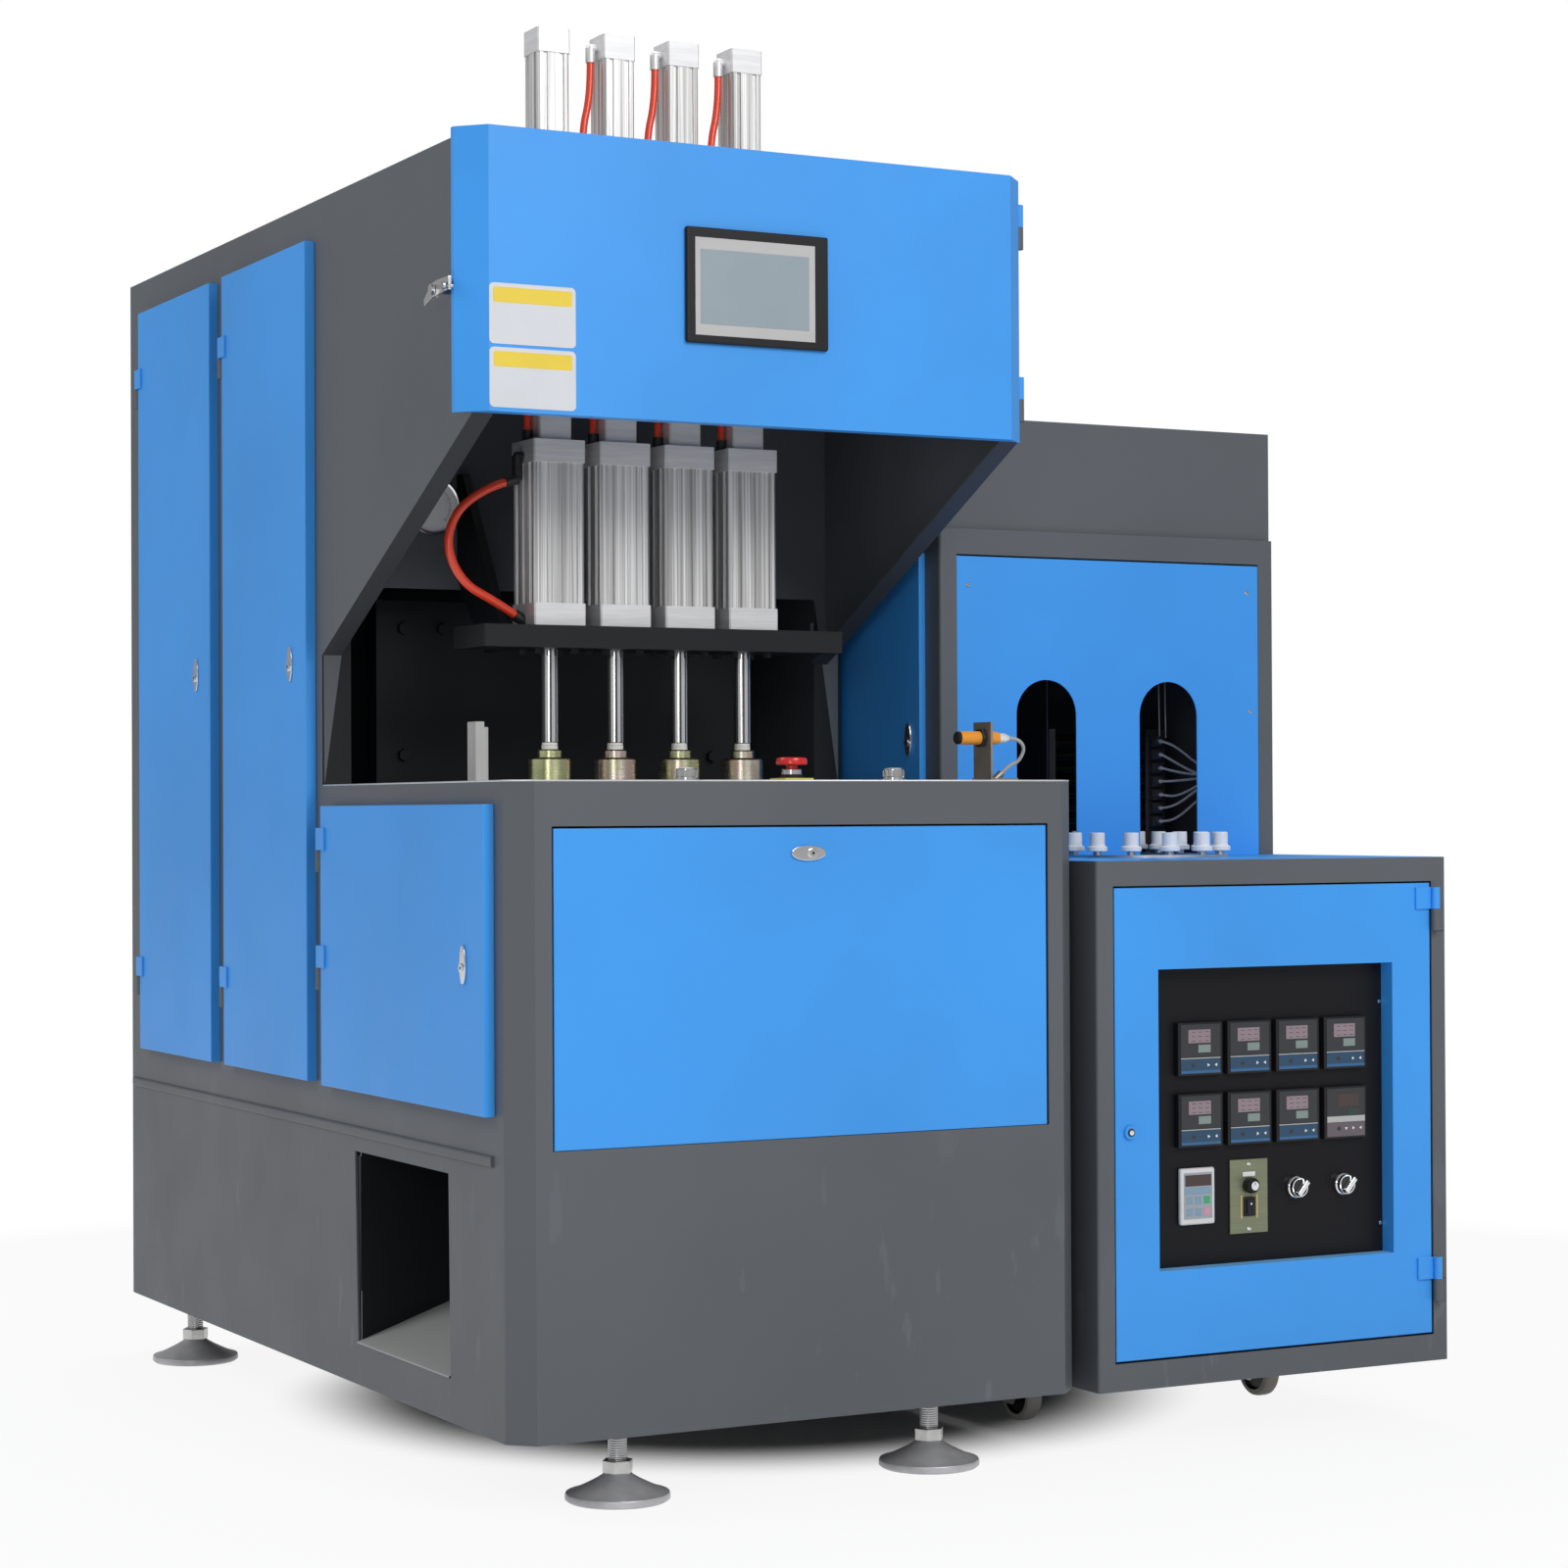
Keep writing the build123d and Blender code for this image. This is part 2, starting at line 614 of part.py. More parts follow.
def make_blow_cylinders():
    cylinders = Part()
    groove = (8.0, 3.0, (-22.0, 0.0, 22.0))
    for x in station_x:
        cylinders += square_cylinder(x, station_y, plate_z[1], blow_top_z, blow_size, blow_head, blow_bore,
                                     blow_rod_radius + running_gap, stretch_rod_radius + running_gap, groove)
    half = blow_size / 2 + head_extra / 2
    # Hose fittings: the left cylinder's loop, and the ports on the heads' tops
    left = station_x[0] - half
    port_z = blow_top_z - 21
    cylinders += elbow_fitting((left + 1, station_y, port_z), (left - 8, station_y, port_z),
                               (left - 8, station_y, port_z - 32), 6.0)
    cylinders += bar((left - 8, station_y, port_z - 30), (loop_start_x, station_y, port_z - 36), 8.0)
    cylinders += bar((left + 2, station_y, plate_z[1] + 7), (loop_end_x, station_y, plate_z[1] + 16), 8.0)
    for x in station_x:
        port_x = x - stretch_size / 2 - 8
        cylinders += bar((port_x, station_y, blow_top_z - 1), (port_x, station_y, blow_top_z + 14), 7.0)
    return cylinders


def make_stretch_cylinders():
    cylinders = Part()
    groove = (6.0, 2.5, (-12.0, 12.0))
    for x in station_x:
        cylinders += square_cylinder(x, station_y, blow_top_z, stretch_top_z, stretch_size, stretch_head,
                                     stretch_bore, stretch_rod_radius + running_gap, 0, groove)
    half = stretch_size / 2 + head_extra / 2
    for x in station_x[1:]:
        port_z = stretch_top_z - stretch_head / 2
        elbow_x = x - half - 9
        cylinders += elbow_fitting((x - half + 1, station_y, port_z), (elbow_x, station_y, port_z),
                                   (elbow_x, station_y, port_z - 20), 5.5)
    return cylinders


def make_cylinder_plate():
    plate = block(*plate_x, *plate_y, *plate_z)
    plate = chamfer(plate.edges().filter_by(Axis.Z), 2)
    for x in station_x:
        plate -= bar((x, station_y, plate_z[0] - 1), (x, station_y, plate_z[1] + 1), blow_rod_radius + 1.0)
        # Screw heads under the plate, four to a cylinder
        for dx in (-26.0, 26.0):
            for dy in (-26.0, 26.0):
                head = Plane(origin=(x + dx, station_y + dy, plate_z[0] - 7)) * RegularPolygon(6.5, 6)
                plate += extrude(head, 8)
    # Welded arms to the back wall
    arm = [
        (plate_y[1] - 1, plate_z[0]),
        (plate_y[1] + 60, plate_z[0]),
        (rear_y, 1185),
        (rear_y, 1330),
        (rear_y - 20, 1330),
        (plate_y[1] - 1, plate_z[1]),
    ]
    for x in (plate_x[0] + 70, plate_x[1] - 82):
        plate += profile_plate(arm, side_plane(x), 12)
    # Stud at the right end
    plate += bar((plate_x[1] - 40, plate_y[0] + 20, plate_z[1] - 1), (plate_x[1] - 40, plate_y[0] + 20, plate_z[1] + 12),
                 3.5)
    return plate


def make_blow_rod(x):
    low = nozzle_bottom_z + nozzle_cup[1] + nozzle_neck[1] + nozzle_seal[1]
    piston_z = plate_z[1] + blow_head + 1.0
    rod = bar((x, station_y, low), (x, station_y, piston_z + 25), blow_rod_radius)
    rod += bar((x, station_y, piston_z), (x, station_y, piston_z + 25), blow_bore - running_gap)
    return rod - bar((x, station_y, low - 1), (x, station_y, piston_z + 26), blow_rod_bore)


def make_blow_nozzle(x):
    """Turned seal head: a wide cup, a neck and a plastic ring, bored for the stretch rod."""
    z0 = nozzle_bottom_z
    z1 = z0 + nozzle_cup[1]
    z2 = z1 + nozzle_neck[1]
    z3 = z2 + nozzle_seal[1]
    bevel = 1.5
    outline = [
        (blow_rod_bore, z0 + 10),
        (14.0, z0 + 10),
        (14.0, z0),
        (nozzle_cup[0] - bevel, z0),
        (nozzle_cup[0], z0 + bevel),
        (nozzle_cup[0], z1 - bevel),
        (nozzle_cup[0] - bevel, z1),
        (nozzle_neck[0], z1),
        (nozzle_neck[0], z2 - bevel),
        (nozzle_neck[0] - bevel, z2),
        (nozzle_seal[0], z2),
        (nozzle_seal[0], z3),
        (blow_rod_bore, z3),
    ]
    section = Plane(origin=(x, station_y, 0), x_dir=(1, 0, 0), z_dir=(0, -1, 0)) * Polygon(*outline, align=None)
    return revolve(section, Axis((x, station_y, 0), (0, 0, 1)))


def make_stretch_rods():
    rods = Part()
    piston_top = stretch_top_z - stretch_head - 8.0
    for x in station_x:
        rod = bar((x, station_y, stretch_tip_z), (x, station_y, piston_top), stretch_rod_radius)
        rod += bar((x, station_y, piston_top - 20), (x, station_y, piston_top), stretch_bore - running_gap)
        rods += rod
    return rods


def bottle_cavity(x):
    """Body of revolution of one bottle, standing with its neck up."""
    base = mould_z[0] + 45.0
    body, neck = 32.5, 13.5
    outline = [
        (0, base),
        (body - 7, base),
        (body, base + 10),
        (body, base + 145),
        (neck, mould_z[1] - 34),
        (neck, mould_z[1] + 1),
        (0, mould_z[1] + 1),
    ]
    section = Plane(origin=(x, station_y, 0), x_dir=(1, 0, 0), z_dir=(0, -1, 0)) * Polygon(*outline, align=None)
    return revolve(section, Axis((x, station_y, 0), (0, 0, 1)))


def make_mould_half(y0, y1):
    half = block(*mould_x, y0, y1, *mould_z)
    for x in station_x:
        half -= bottle_cavity(x)
    return half


def make_clamp_frame():
    """Bed bars, the two fixed platens and the four tie bars between them."""
    x0, x1 = platen_x
    frame = Part()
    for x in (x0, x1 - bed_bar):
        frame += block(x, x + bed_bar, *bed_y, *bed_z)
    front_y = fixed_platen_back_y - platen_depth
    frame += block(x0, x1, front_y, fixed_platen_back_y, bed_z[1] - 1, mould_z[1])
    rear = block(x0, x1, rear_platen_y, rear_platen_y + platen_depth, bed_z[1] - 1, rear_platen_top)
    axis = ((x0 + x1) / 2, clamp_axis_z)
    rear -= bar((axis[0], rear_platen_y - 1, axis[1]), (axis[0], rear_platen_y + platen_depth + 1, axis[1]),
                clamp_rod_radius + running_gap)
    frame += rear
    for x in tie_x:
        for z in tie_z:
            frame += bar((x, front_y - 16, z), (x, rear_platen_y + platen_depth + 20, z), tie_radius)
            for y in (front_y - 14, rear_platen_y + platen_depth):
                nut = Plane(origin=(x, y, z), z_dir=(0, 1, 0)) * RegularPolygon(27, 6)
                frame += extrude(nut, 14)
    # Bolt heads on the tall rear platen, seen over the table
    for x, z in ((x0 + 40, 1120), (x0 + 100, 1120), (x0 + 40, 940), (x1 - 40, 1120), (x1 - 100, 1120), (x1 - 40, 940)):
        head = Plane(origin=(x, rear_platen_y + 1, z), z_dir=(0, -1, 0)) * RegularPolygon(9, 6)
        frame += extrude(head, 10)
    return frame


def make_moving_platen():
    x0, x1 = platen_x
    platen = block(x0, x1, platen_front_y, platen_front_y + platen_depth, platen_bottom_z, mould_z[1])
    for x in tie_x:
        for z in tie_z:
            platen -= bar((x, platen_front_y - 1, z), (x, platen_front_y + platen_depth + 1, z),
                          tie_radius + running_gap)
    return platen


def make_clamp_cylinder():
    x = (platen_x[0] + platen_x[1]) / 2
    z = clamp_axis_z
    front = rear_platen_y + platen_depth
    tube = bar((x, front + 30, z), (x, front + 210, z), clamp_bore + 6)
    for y in (front, front + 210):
        head = block(x - 78, x + 78, y, y + 30, z - 78, z + 78)
        tube += chamfer(head.edges().filter_by(Axis.Y), 10)
    tube -= bar((x, front + 30, z), (x, front + 210, z), clamp_bore)
    tube -= bar((x, front - 1, z), (x, front + 31, z), clamp_rod_radius + running_gap)
    for dx in (-62.0, 62.0):
        for dz in (-62.0, 62.0):
            tube += bar((x + dx, front + 29, z + dz), (x + dx, front + 211, z + dz), 7.0)
    return tube


def make_clamp_rod():
    x = (platen_x[0] + platen_x[1]) / 2
    z = clamp_axis_z
    piston_y = rear_platen_y + platen_depth + 30 + 2
    rod = bar((x, platen_front_y + platen_depth, z), (x, piston_y + 25, z), clamp_rod_radius)
    return rod + bar((x, piston_y, z), (x, piston_y + 25, z), clamp_bore - running_gap)


def make_control_collars():
    """Fixed sleeves of the two start buttons and of the stop button, with its base plate."""
    collars = Part()
    for x in start_x:
        sleeve = bar((x, control_y, table_z), (x, control_y, table_z + 19), 14.0)
        sleeve += bar((x, control_y, table_z - 40), (x, control_y, table_z + 1), 11.0)
        sleeve -= bar((x, control_y, table_z + 6), (x, control_y, table_z + 20), 10.4)
        sleeve -= bar((x, control_y, table_z - 34), (x, control_y, table_z + 7), 4.0 + running_gap)
        collars += sleeve
    base = block(stop_x - 21, stop_x + 21, control_y - 21, control_y + 21, table_z, table_z + 3)
    sleeve = base + bar((stop_x, control_y, table_z - 45), (stop_x, control_y, table_z + 12), 11.0)
    sleeve += bar((stop_x, control_y, table_z + 3), (stop_x, control_y, table_z + 12), 15.0)
    sleeve -= bar((stop_x, control_y, table_z - 40), (stop_x, control_y, table_z + 13), 7.0 + running_gap)
    return collars + sleeve


def make_stop_button():
    """Mushroom head on its stem."""
    z = table_z + 17.0
    cap = bar((stop_x, control_y, z), (stop_x, control_y, z + 13), 20.0)
    cap = chamfer(cap.edges().sort_by(Axis.Z)[-1], 3)
    return cap + bar((stop_x, control_y, table_z - 25), (stop_x, control_y, z + 1), 7.0)


def make_start_button(x):
    cap = bar((x, control_y, table_z + 12), (x, control_y, table_z + 22), 10.0)
    return cap + bar((x, control_y, table_z - 20), (x, control_y, table_z + 13), 4.0)


def make_sensor_bracket():
    x0 = bracket_x
    strip = block(x0, x0 + 3, sensor_y - 22, sensor_y + 22, table_z, sensor_z + 21)
    strip += block(x0, x0 + 42, sensor_y - 22, sensor_y + 26, table_z, table_z + 3)
    # Cable gland on the bracket's foot
    strip += bar(gland_low, gland_top, 5.0) - block(x0 - 9, x0 + 50, 60, 120, table_z - 9, table_z)
    return strip - bar((x0 - 1, sensor_y, sensor_z), (x0 + 4, sensor_y, sensor_z), sensor_radius + running_gap)


gland_low = (bracket_x + 29, 97.0, table_z + 1)
gland_top = (bracket_x + 39, 95.6, table_z + 10)


def make_sensor():
    body = bar((sensor_x[0], sensor_y, sensor_z), (sensor_x[1] - 16, sensor_y, sensor_z), sensor_radius)
    body = chamfer(body.edges().sort_by(Axis.X)[0], 1.2)
    body += bar((sensor_x[1] - 17, sensor_y, sensor_z), (sensor_x[1], sensor_y, sensor_z), 6.0)
    for x in (bracket_x - 5, bracket_x + 3):
        nut = Plane(origin=(x, sensor_y, sensor_z), z_dir=(1, 0, 0)) * RegularPolygon(14, 6)
        body += extrude(nut, 5)
    return body


def make_gauge():
    """Round pressure gauge on a short pipe out of the back wall."""
    y1 = rear_y
    case = bar((gauge_x, y1 - 44, gauge_z), (gauge_x, y1 - 14, gauge_z), gauge_radius)
    case -= bar((gauge_x, y1 - 45, gauge_z), (gauge_x, y1 - 38, gauge_z), gauge_radius - 4)
    return case + bar((gauge_x, y1 - 15, gauge_z), (gauge_x, y1, gauge_z), 10.0)


def route_tube(points, radius):
    """Tube along straight runs joined by arcs as large as the runs allow."""
    points = [Vector(*p) for p in points]
    radii = []
    for before, here, after in zip(points, points[1:], points[2:]):
        run_in, run_out = here - before, after - here
        turn = math.radians(run_in.get_angle(run_out))
        radii.append(0.45 * min(run_in.length, run_out.length) / math.tan(turn / 2))
    path = FilletPolyline(*points, radius=radii)
    start = Plane(origin=points[0], z_dir=points[1] - points[0])
    tube = sweep(start * Circle(radius), path=path)
    print("tube: length", round(path.length), "radii", [round(r) for r in radii],
          "volume share", round(tube.volume / (math.pi * radius**2 * path.length), 3))
    return tube


hose_radius = 6.0
loop_start_x = station_x[0] - blow_size / 2 - 27
loop_end_x = station_x[0] - blow_size / 2 - 14
loop_out_x = station_x[0] - 149.6
loop_hose_route = [
    (loop_start_x, station_y, blow_top_z - 57),
    (loop_start_x - 30, station_y, blow_top_z - 67),
    (loop_out_x + 12, station_y, blow_top_z - 100),
    (loop_out_x, station_y, blow_top_z - 149),
    (loop_out_x + 24, station_y, plate_z[1] + 56),
    (loop_end_x - 30, station_y, plate_z[1] + 34),
    (loop_end_x, station_y, plate_z[1] + 16),
]


def upper_hose_route(x):
    """From a blow cylinder's top port up beside its stretch cylinder to the top head's port."""
    low_x = x - stretch_size / 2 - 8
    top_x = x - stretch_size / 2 - head_extra / 2 - 9
    port_z = stretch_top_z - stretch_head / 2
    return [
        (low_x, station_y, blow_top_z + 14),
        (low_x, station_y, blow_top_z + 91),
        (low_x - 14, station_y, blow_top_z + 201),
        (low_x - 10, station_y, unit_top - 22),
        (low_x - 16, station_y, unit_top + 78),
        (top_x, station_y, stretch_top_z - 80),
        (top_x, station_y, port_z - 20),
    ]


def first_hose_route():
    """From the first blow cylinder's top port up and back to the rear wall."""
    x = station_x[0] - stretch_size / 2 - 8
    return [
        (x, station_y, blow_top_z + 14),
        (x, station_y, blow_top_z + 86),
        (x - 6, station_y + 18, blow_top_z + 157),
        (x - 9, station_y + 72, blow_top_z + 203),
        (x - 8, rear_y - 66, blow_top_z + 211),
        (x - 8, rear_y, blow_top_z + 211),
    ]


def make_air_hoses():
    """The loop beside the first blow cylinder, and the four hoses that go up under the hood."""
    hoses = route_tube(loop_hose_route, hose_radius)
    hoses += route_tube(first_hose_route(), hose_radius - 1)
    for x in station_x[1:]:
        hoses += route_tube(upper_hose_route(x), hose_radius - 1)
    return hoses


sensor_cable_route = [
    (sensor_x[1], sensor_y, sensor_z),
    (sensor_x[1] + 15, sensor_y, sensor_z),
    (sensor_x[1] + 29, sensor_y + 4, sensor_z - 13),
    (sensor_x[1] + 23, sensor_y + 11, sensor_z - 31),
    (gland_top[0] + 12.1, gland_top[1] - 1.7, gland_top[2] + 10.9),
    gland_top,
]


def make_sensor_cable():
    return route_tube(sensor_cable_route, 2.5)


def levelling_foot(x, y):
    """Turned base, hexagon nut and threaded stem up to the cabinet."""
    rim, height = 9.0, 34.0
    outline = [(0, 0), (foot_radius - 2, 0), (foot_radius, 2), (foot_radius, rim), (20, height), (0, height)]
    section = Plane(origin=(x, y, 0), x_dir=(1, 0, 0), z_dir=(0, -1, 0)) * Polygon(*outline, align=None)
    foot = revolve(section, Axis((x, y, 0), (0, 0, 1)))
    foot += extrude(Plane(origin=(x, y, height - 1)) * RegularPolygon(20, 6), 17)
    return foot + bar((x, y, height), (x, y, floor_gap + 30), foot_stem_radius)


def make_levelling_feet():
    feet = Part()
    for x in foot_x:
        feet += levelling_foot(x, foot_y)
    for x in rear_foot_x:
        feet += levelling_foot(x, rear_foot_y)
    return feet


def make_heater_cabinet():
    x0, x1 = heater_x
    z0, z1 = heater_bottom_z, heater_table_z
    shell = block(x0, x1, 0, heater_depth, z0, z1)
    shell = fillet(shell.edges().filter_by(Axis.Z).sort_by(Axis.Y)[:2], 5)
    shell -= block(x0 + sheet, x1 - sheet, sheet, heater_depth - sheet, z0 - 1, z1 - sheet)
    dx0, dx1 = heater_door_x
    dz0, dz1 = heater_door_z
    shell -= block(dx0 - panel_gap, dx1 + panel_gap, -1, sheet + 1, dz0 - panel_gap, dz1 + panel_gap)
    # Cross channels over the castors
    for y in (caster_front_y, caster_rear_y):
        shell += block(x0 + sheet - 0.01, x1 - sheet + 0.01, y - 50, y + 50, z0, z0 + 6)
    # Hinge bases on the right stile
    for z in heater_hinge_z:
        base = bar((heater_hinge_x, heater_hinge_y, z - hinge_half), (heater_hinge_x, heater_hinge_y, z - seat_gap), 6.0)
        base += bar((heater_hinge_x, heater_hinge_y, z - hinge_half), (heater_hinge_x, heater_hinge_y, z + hinge_half),
                    hinge_pin_radius - 1)
        base += block(heater_hinge_x, heater_hinge_x + 18, -hinge_leaf, 0.5, z - hinge_half, z - seat_gap)
        shell += base
    return shell


heater_hinge_x = heater_door_x[1] + 5.0
heater_hinge_y = -6.5


def make_heater_door():
    face_y = 0.5
    x0, x1 = heater_door_x
    z0, z1 = heater_door_z
    door = block(x0, x1, face_y, face_y + heater_door_depth, z0, z1)
    door = fillet(door.edges().group_by(Axis.Y)[0], 1.5)
    door -= block(x0 + door_sheet, x1 - door_sheet, face_y + door_sheet, face_y + heater_door_depth + 1,
                  z0 + door_sheet, z1 - door_sheet)
    wx0, wx1 = window_x
    wz0, wz1 = window_z
    well = block(wx0 - door_sheet, wx1 + door_sheet, face_y, panel_seat_y, wz0 - door_sheet, wz1 + door_sheet)
    door += well
    door -= block(wx0, wx1, face_y - 1, panel_seat_y + 1, wz0, wz1)
    for z in heater_hinge_z:
        knuckle = bar((heater_hinge_x, heater_hinge_y, z), (heater_hinge_x, heater_hinge_y, z + hinge_half), 6.0)
        knuckle += block(x1 - 26, heater_hinge_x, -hinge_leaf, -seat_gap, z, z + hinge_half)
        knuckle += block(x1 - 26, x1 - 2, -hinge_leaf, face_y + 0.5, z, z + hinge_half)
        knuckle -= bar((heater_hinge_x, heater_hinge_y, z - 1), (heater_hinge_x, heater_hinge_y, z + hinge_half + 1),
                       hinge_pin_radius - 1 + running_gap)
        door += knuckle
    # Small round key lock at the left edge
    lock = (x0 + 22, 431.0)
    door += bar((lock[0], face_y - 4, lock[1]), (lock[0], face_y + 22, lock[1]), 9.0)
    return door


def meter_places():
    """Middles of the eight meters on the control panel."""
    columns = [window_x[0] + 78 + 80.5 * i for i in range(4)]
    rows = [window_z[1] - 109, window_z[1] - 205]
    return [(x, z) for z in rows for x in columns]


meter_size = 72.0
meter_body = 66.0
keypad_place = (window_x[0] + 74, 338.0)
keypad_size = (56.0, 76.0)
speed_place = (window_x[0] + 161, 333.0)
speed_size = (62.0, 100.0)
speed_knob_z = 348.0
selector_places = ((window_x[0] + 239, 341.0), (window_x[0] + 319, 341.0))


def make_control_panel():
    y0 = panel_seat_y
    plate = block(window_x[0] - 8, window_x[1] + 8, y0, y0 + 3, window_z[0] - 8, window_z[1] + 8)
    hole = meter_body / 2 + seat_gap
    for x, z in meter_places():
        plate -= block(x - hole, x + hole, y0 - 1, y0 + 4, z - hole, z + hole)
    for x, z in (*selector_places, (speed_place[0], speed_knob_z)):
        plate -= bar((x, y0 - 1, z), (x, y0 + 4, z), 11.2)
    return plate


def make_panel_instruments():
    """Meters, keypad, speed controller and the selectors' rings, set in the panel."""
    y0 = panel_seat_y
    group = Part()
    for x, z in meter_places():
        half = meter_size / 2
        bezel = block(x - half, x + half, y0 - 10, y0, z - half, z + half)
        bezel = chamfer(bezel.edges().group_by(Axis.Y)[0], 1.5)
        inner = meter_body / 2
        group += bezel + block(x - inner, x + inner, y0 - 1, y0 + 55, z - inner, z + inner)
    kx, kz = keypad_place
    pad = block(kx - keypad_size[0] / 2, kx + keypad_size[0] / 2, y0 - 8, y0, kz - keypad_size[1] / 2,
                kz + keypad_size[1] / 2)
    group += fillet(pad.edges().filter_by(Axis.Y), 3)
    sx, sz = speed_place
    speed = block(sx - speed_size[0] / 2, sx + speed_size[0] / 2, y0 - 3, y0, sz - speed_size[1] / 2,
                  sz + speed_size[1] / 2)
    speed += block(sx - 9, sx + 9, y0 - 6, y0 - 2, 306, 332)
    speed += bar((sx, y0 - 1, speed_knob_z), (sx, y0 + 30, speed_knob_z), 11.0)
    speed -= bar((sx, y0 - 4, speed_knob_z), (sx, y0 + 20, speed_knob_z), 3.0 + running_gap)
    group += speed
    for x, z in selector_places:
        ring = bar((x, y0 - 8, z), (x, y0, z), 15.0) + bar((x, y0 - 1, z), (x, y0 + 35, z), 11.0)
        group += ring - bar((x, y0 - 9, z), (x, y0 + 25, z), 6.0 + running_gap)
    return group


def make_speed_knob():
    x, z = speed_place[0], speed_knob_z
    y0 = panel_seat_y - 3.5
    knob = bar((x, y0 - 14, z), (x, y0, z), 10.5)
    knob += bar((x, y0 - 1, z), (x, y0 + 15, z), 3.0)
    # Pointer flat
    return knob - block(x - 1, x + 1, y0 - 15, y0 - 13, z, z + 11)


def make_selector(place):
    """Chrome disc with a slanting grip bar, on its spindle."""
    x, z = place
    y0 = panel_seat_y - 8.5
    disc = bar((x, y0 - 5, z), (x, y0, z), 13.0) + bar((x, y0 - 1, z), (x, y0 + 25, z), 6.0)
    grip = block(-4, 4, y0 - 15, y0 - 4, -13, 13)
    return disc + Pos(x, 0, z) * Rot(0, selector_tilt, 0) * grip


selector_tilt = 40.0


def make_oven_housing():
    x0, x1 = heater_x
    y0, y1 = oven_front_y, heater_depth
    base = heater_table_z
    body = block(x0, x1, y0, y1, base, oven_ledge_z)
    body = fillet(body.edges().filter_by(Axis.Z).sort_by(Axis.Y)[:2], 5)
    body += block(x0, x1, y0 + oven_setback, y1, oven_ledge_z - 1, oven_top_z)
    body -= block(x0 + sheet, x1 - sheet, y0 + sheet, y1 - sheet, base - 1, oven_ledge_z - sheet)
    body -= block(x0 + sheet, x1 - sheet, y0 + oven_setback + sheet, y1 - sheet, oven_ledge_z - sheet - 1,
                  oven_top_z - sheet)
    px0, px1 = oven_panel_x
    body -= block(px0 - 0.5, px1 + 0.5, y0 - 1, y0 + sheet + 1, base - 1, oven_panel_top + panel_gap)
    # Hole behind the left side door
    body -= block(x0 - 1, x0 + sheet + 1, side_door_y[0] + door_lap, side_door_y[1] - door_lap,
                  side_door_z[0] + door_lap, side_door_z[1] - door_lap)
    # Warm air slots in the top
    for row in range(9):
        y = y0 + 250 + row * 60
        body -= block(loop_centre_x - 130, loop_centre_x + 130, y, y + 22, oven_top_z - sheet - 1, oven_top_z + 1)
    return body


side_door_y = (442.0, 1010.0)
side_door_z = (806.0, 1226.0)


def make_oven_side_door():
    x1 = heater_x[0] - seat_gap
    door = block(x1 - 10, x1, *side_door_y, *side_door_z)
    door = fillet(door.edges().group_by(Axis.X)[0], 1.2)
    door -= block(x1 - 8, x1 + 1, side_door_y[0] + 2, side_door_y[1] - 2, side_door_z[0] + 2, side_door_z[1] - 2)
    plate = side_plane(x1 - 10) * Pos(side_door_y[0] + 30, 960) * Ellipse(lock_wide / 2, lock_long / 2)
    door += extrude(plate, -2.5)
    for z in (side_door_z[0] + 70, side_door_z[1] - 70):
        door += bar((x1 - 4, side_door_y[1] + 4, z - 25), (x1 - 4, side_door_y[1] + 4, z + 25), 4.2)
    return door


def make_oven_front():
    """Front sheet of the oven with the two arches that the preforms pass through."""
    y0 = oven_front_y + 0.5
    x0, x1 = oven_panel_x
    panel = block(x0, x1, y0, y0 + 15, heater_table_z, oven_panel_top)
    panel -= block(x0 + door_sheet, x1 - door_sheet, y0 + door_sheet, y0 + 16, heater_table_z - 1,
                   oven_panel_top - door_sheet)
    for x in arch_x:
        arch = block(x - arch_radius, x + arch_radius, y0 - 1, y0 + 16, heater_table_z - 1, arch_spring_z)
        arch += bar((x, y0 - 1, arch_spring_z), (x, y0 + 16, arch_spring_z), arch_radius)
        panel -= arch
    return panel


def loop_point(s):
    """Place on the chain's oval at a share s of its length, from the front right of the left run."""
    straight = loop_rear_y - loop_front_y
    turn = math.pi * loop_radius
    length = 2 * (straight + turn)
    s = (s % 1.0) * length
    left, right = arch_x
    if s < straight:
        return right, loop_front_y + s
    s -= straight
    if s < turn:
        angle = s / loop_radius
        return loop_centre_x + loop_radius * math.cos(angle), loop_rear_y + loop_radius * math.sin(angle)
    s -= turn
    if s < straight:
        return left, loop_rear_y - s
    s -= straight
    angle = math.pi + s / loop_radius
    return loop_centre_x + loop_radius * math.cos(angle), loop_front_y + loop_radius * math.sin(angle)


def make_preform_chain():
    """Oval chain of flat links on the table with a preform mandrel on every link."""
    half = 8.0
    thick = 4.0
    z0 = heater_table_z
    straight = loop_rear_y - loop_front_y
    middle_y = (loop_rear_y + loop_front_y) / 2
    outer = Rot(0, 0, 90) * SlotCenterToCenter(straight, 2 * (loop_radius + half))
    inner = Rot(0, 0, 90) * SlotCenterToCenter(straight, 2 * (loop_radius - half))
    ring = extrude(Plane.XY.offset(z0) * Pos(loop_centre_x, middle_y) * (outer - inner), thick)
    mandrels = []
    for i in range(carrier_count):
        x, y = loop_point((i + 0.35) / carrier_count)
        stub = extrude(Plane(origin=(x, y, z0 + thick)) * RegularPolygon(5.5, 6), 6)
        body = extrude(Plane(origin=(x, y, z0 + thick + 6)) * RegularPolygon(10.5, 8), 25)
        mandrels.append(stub + body)
    return ring + mandrels


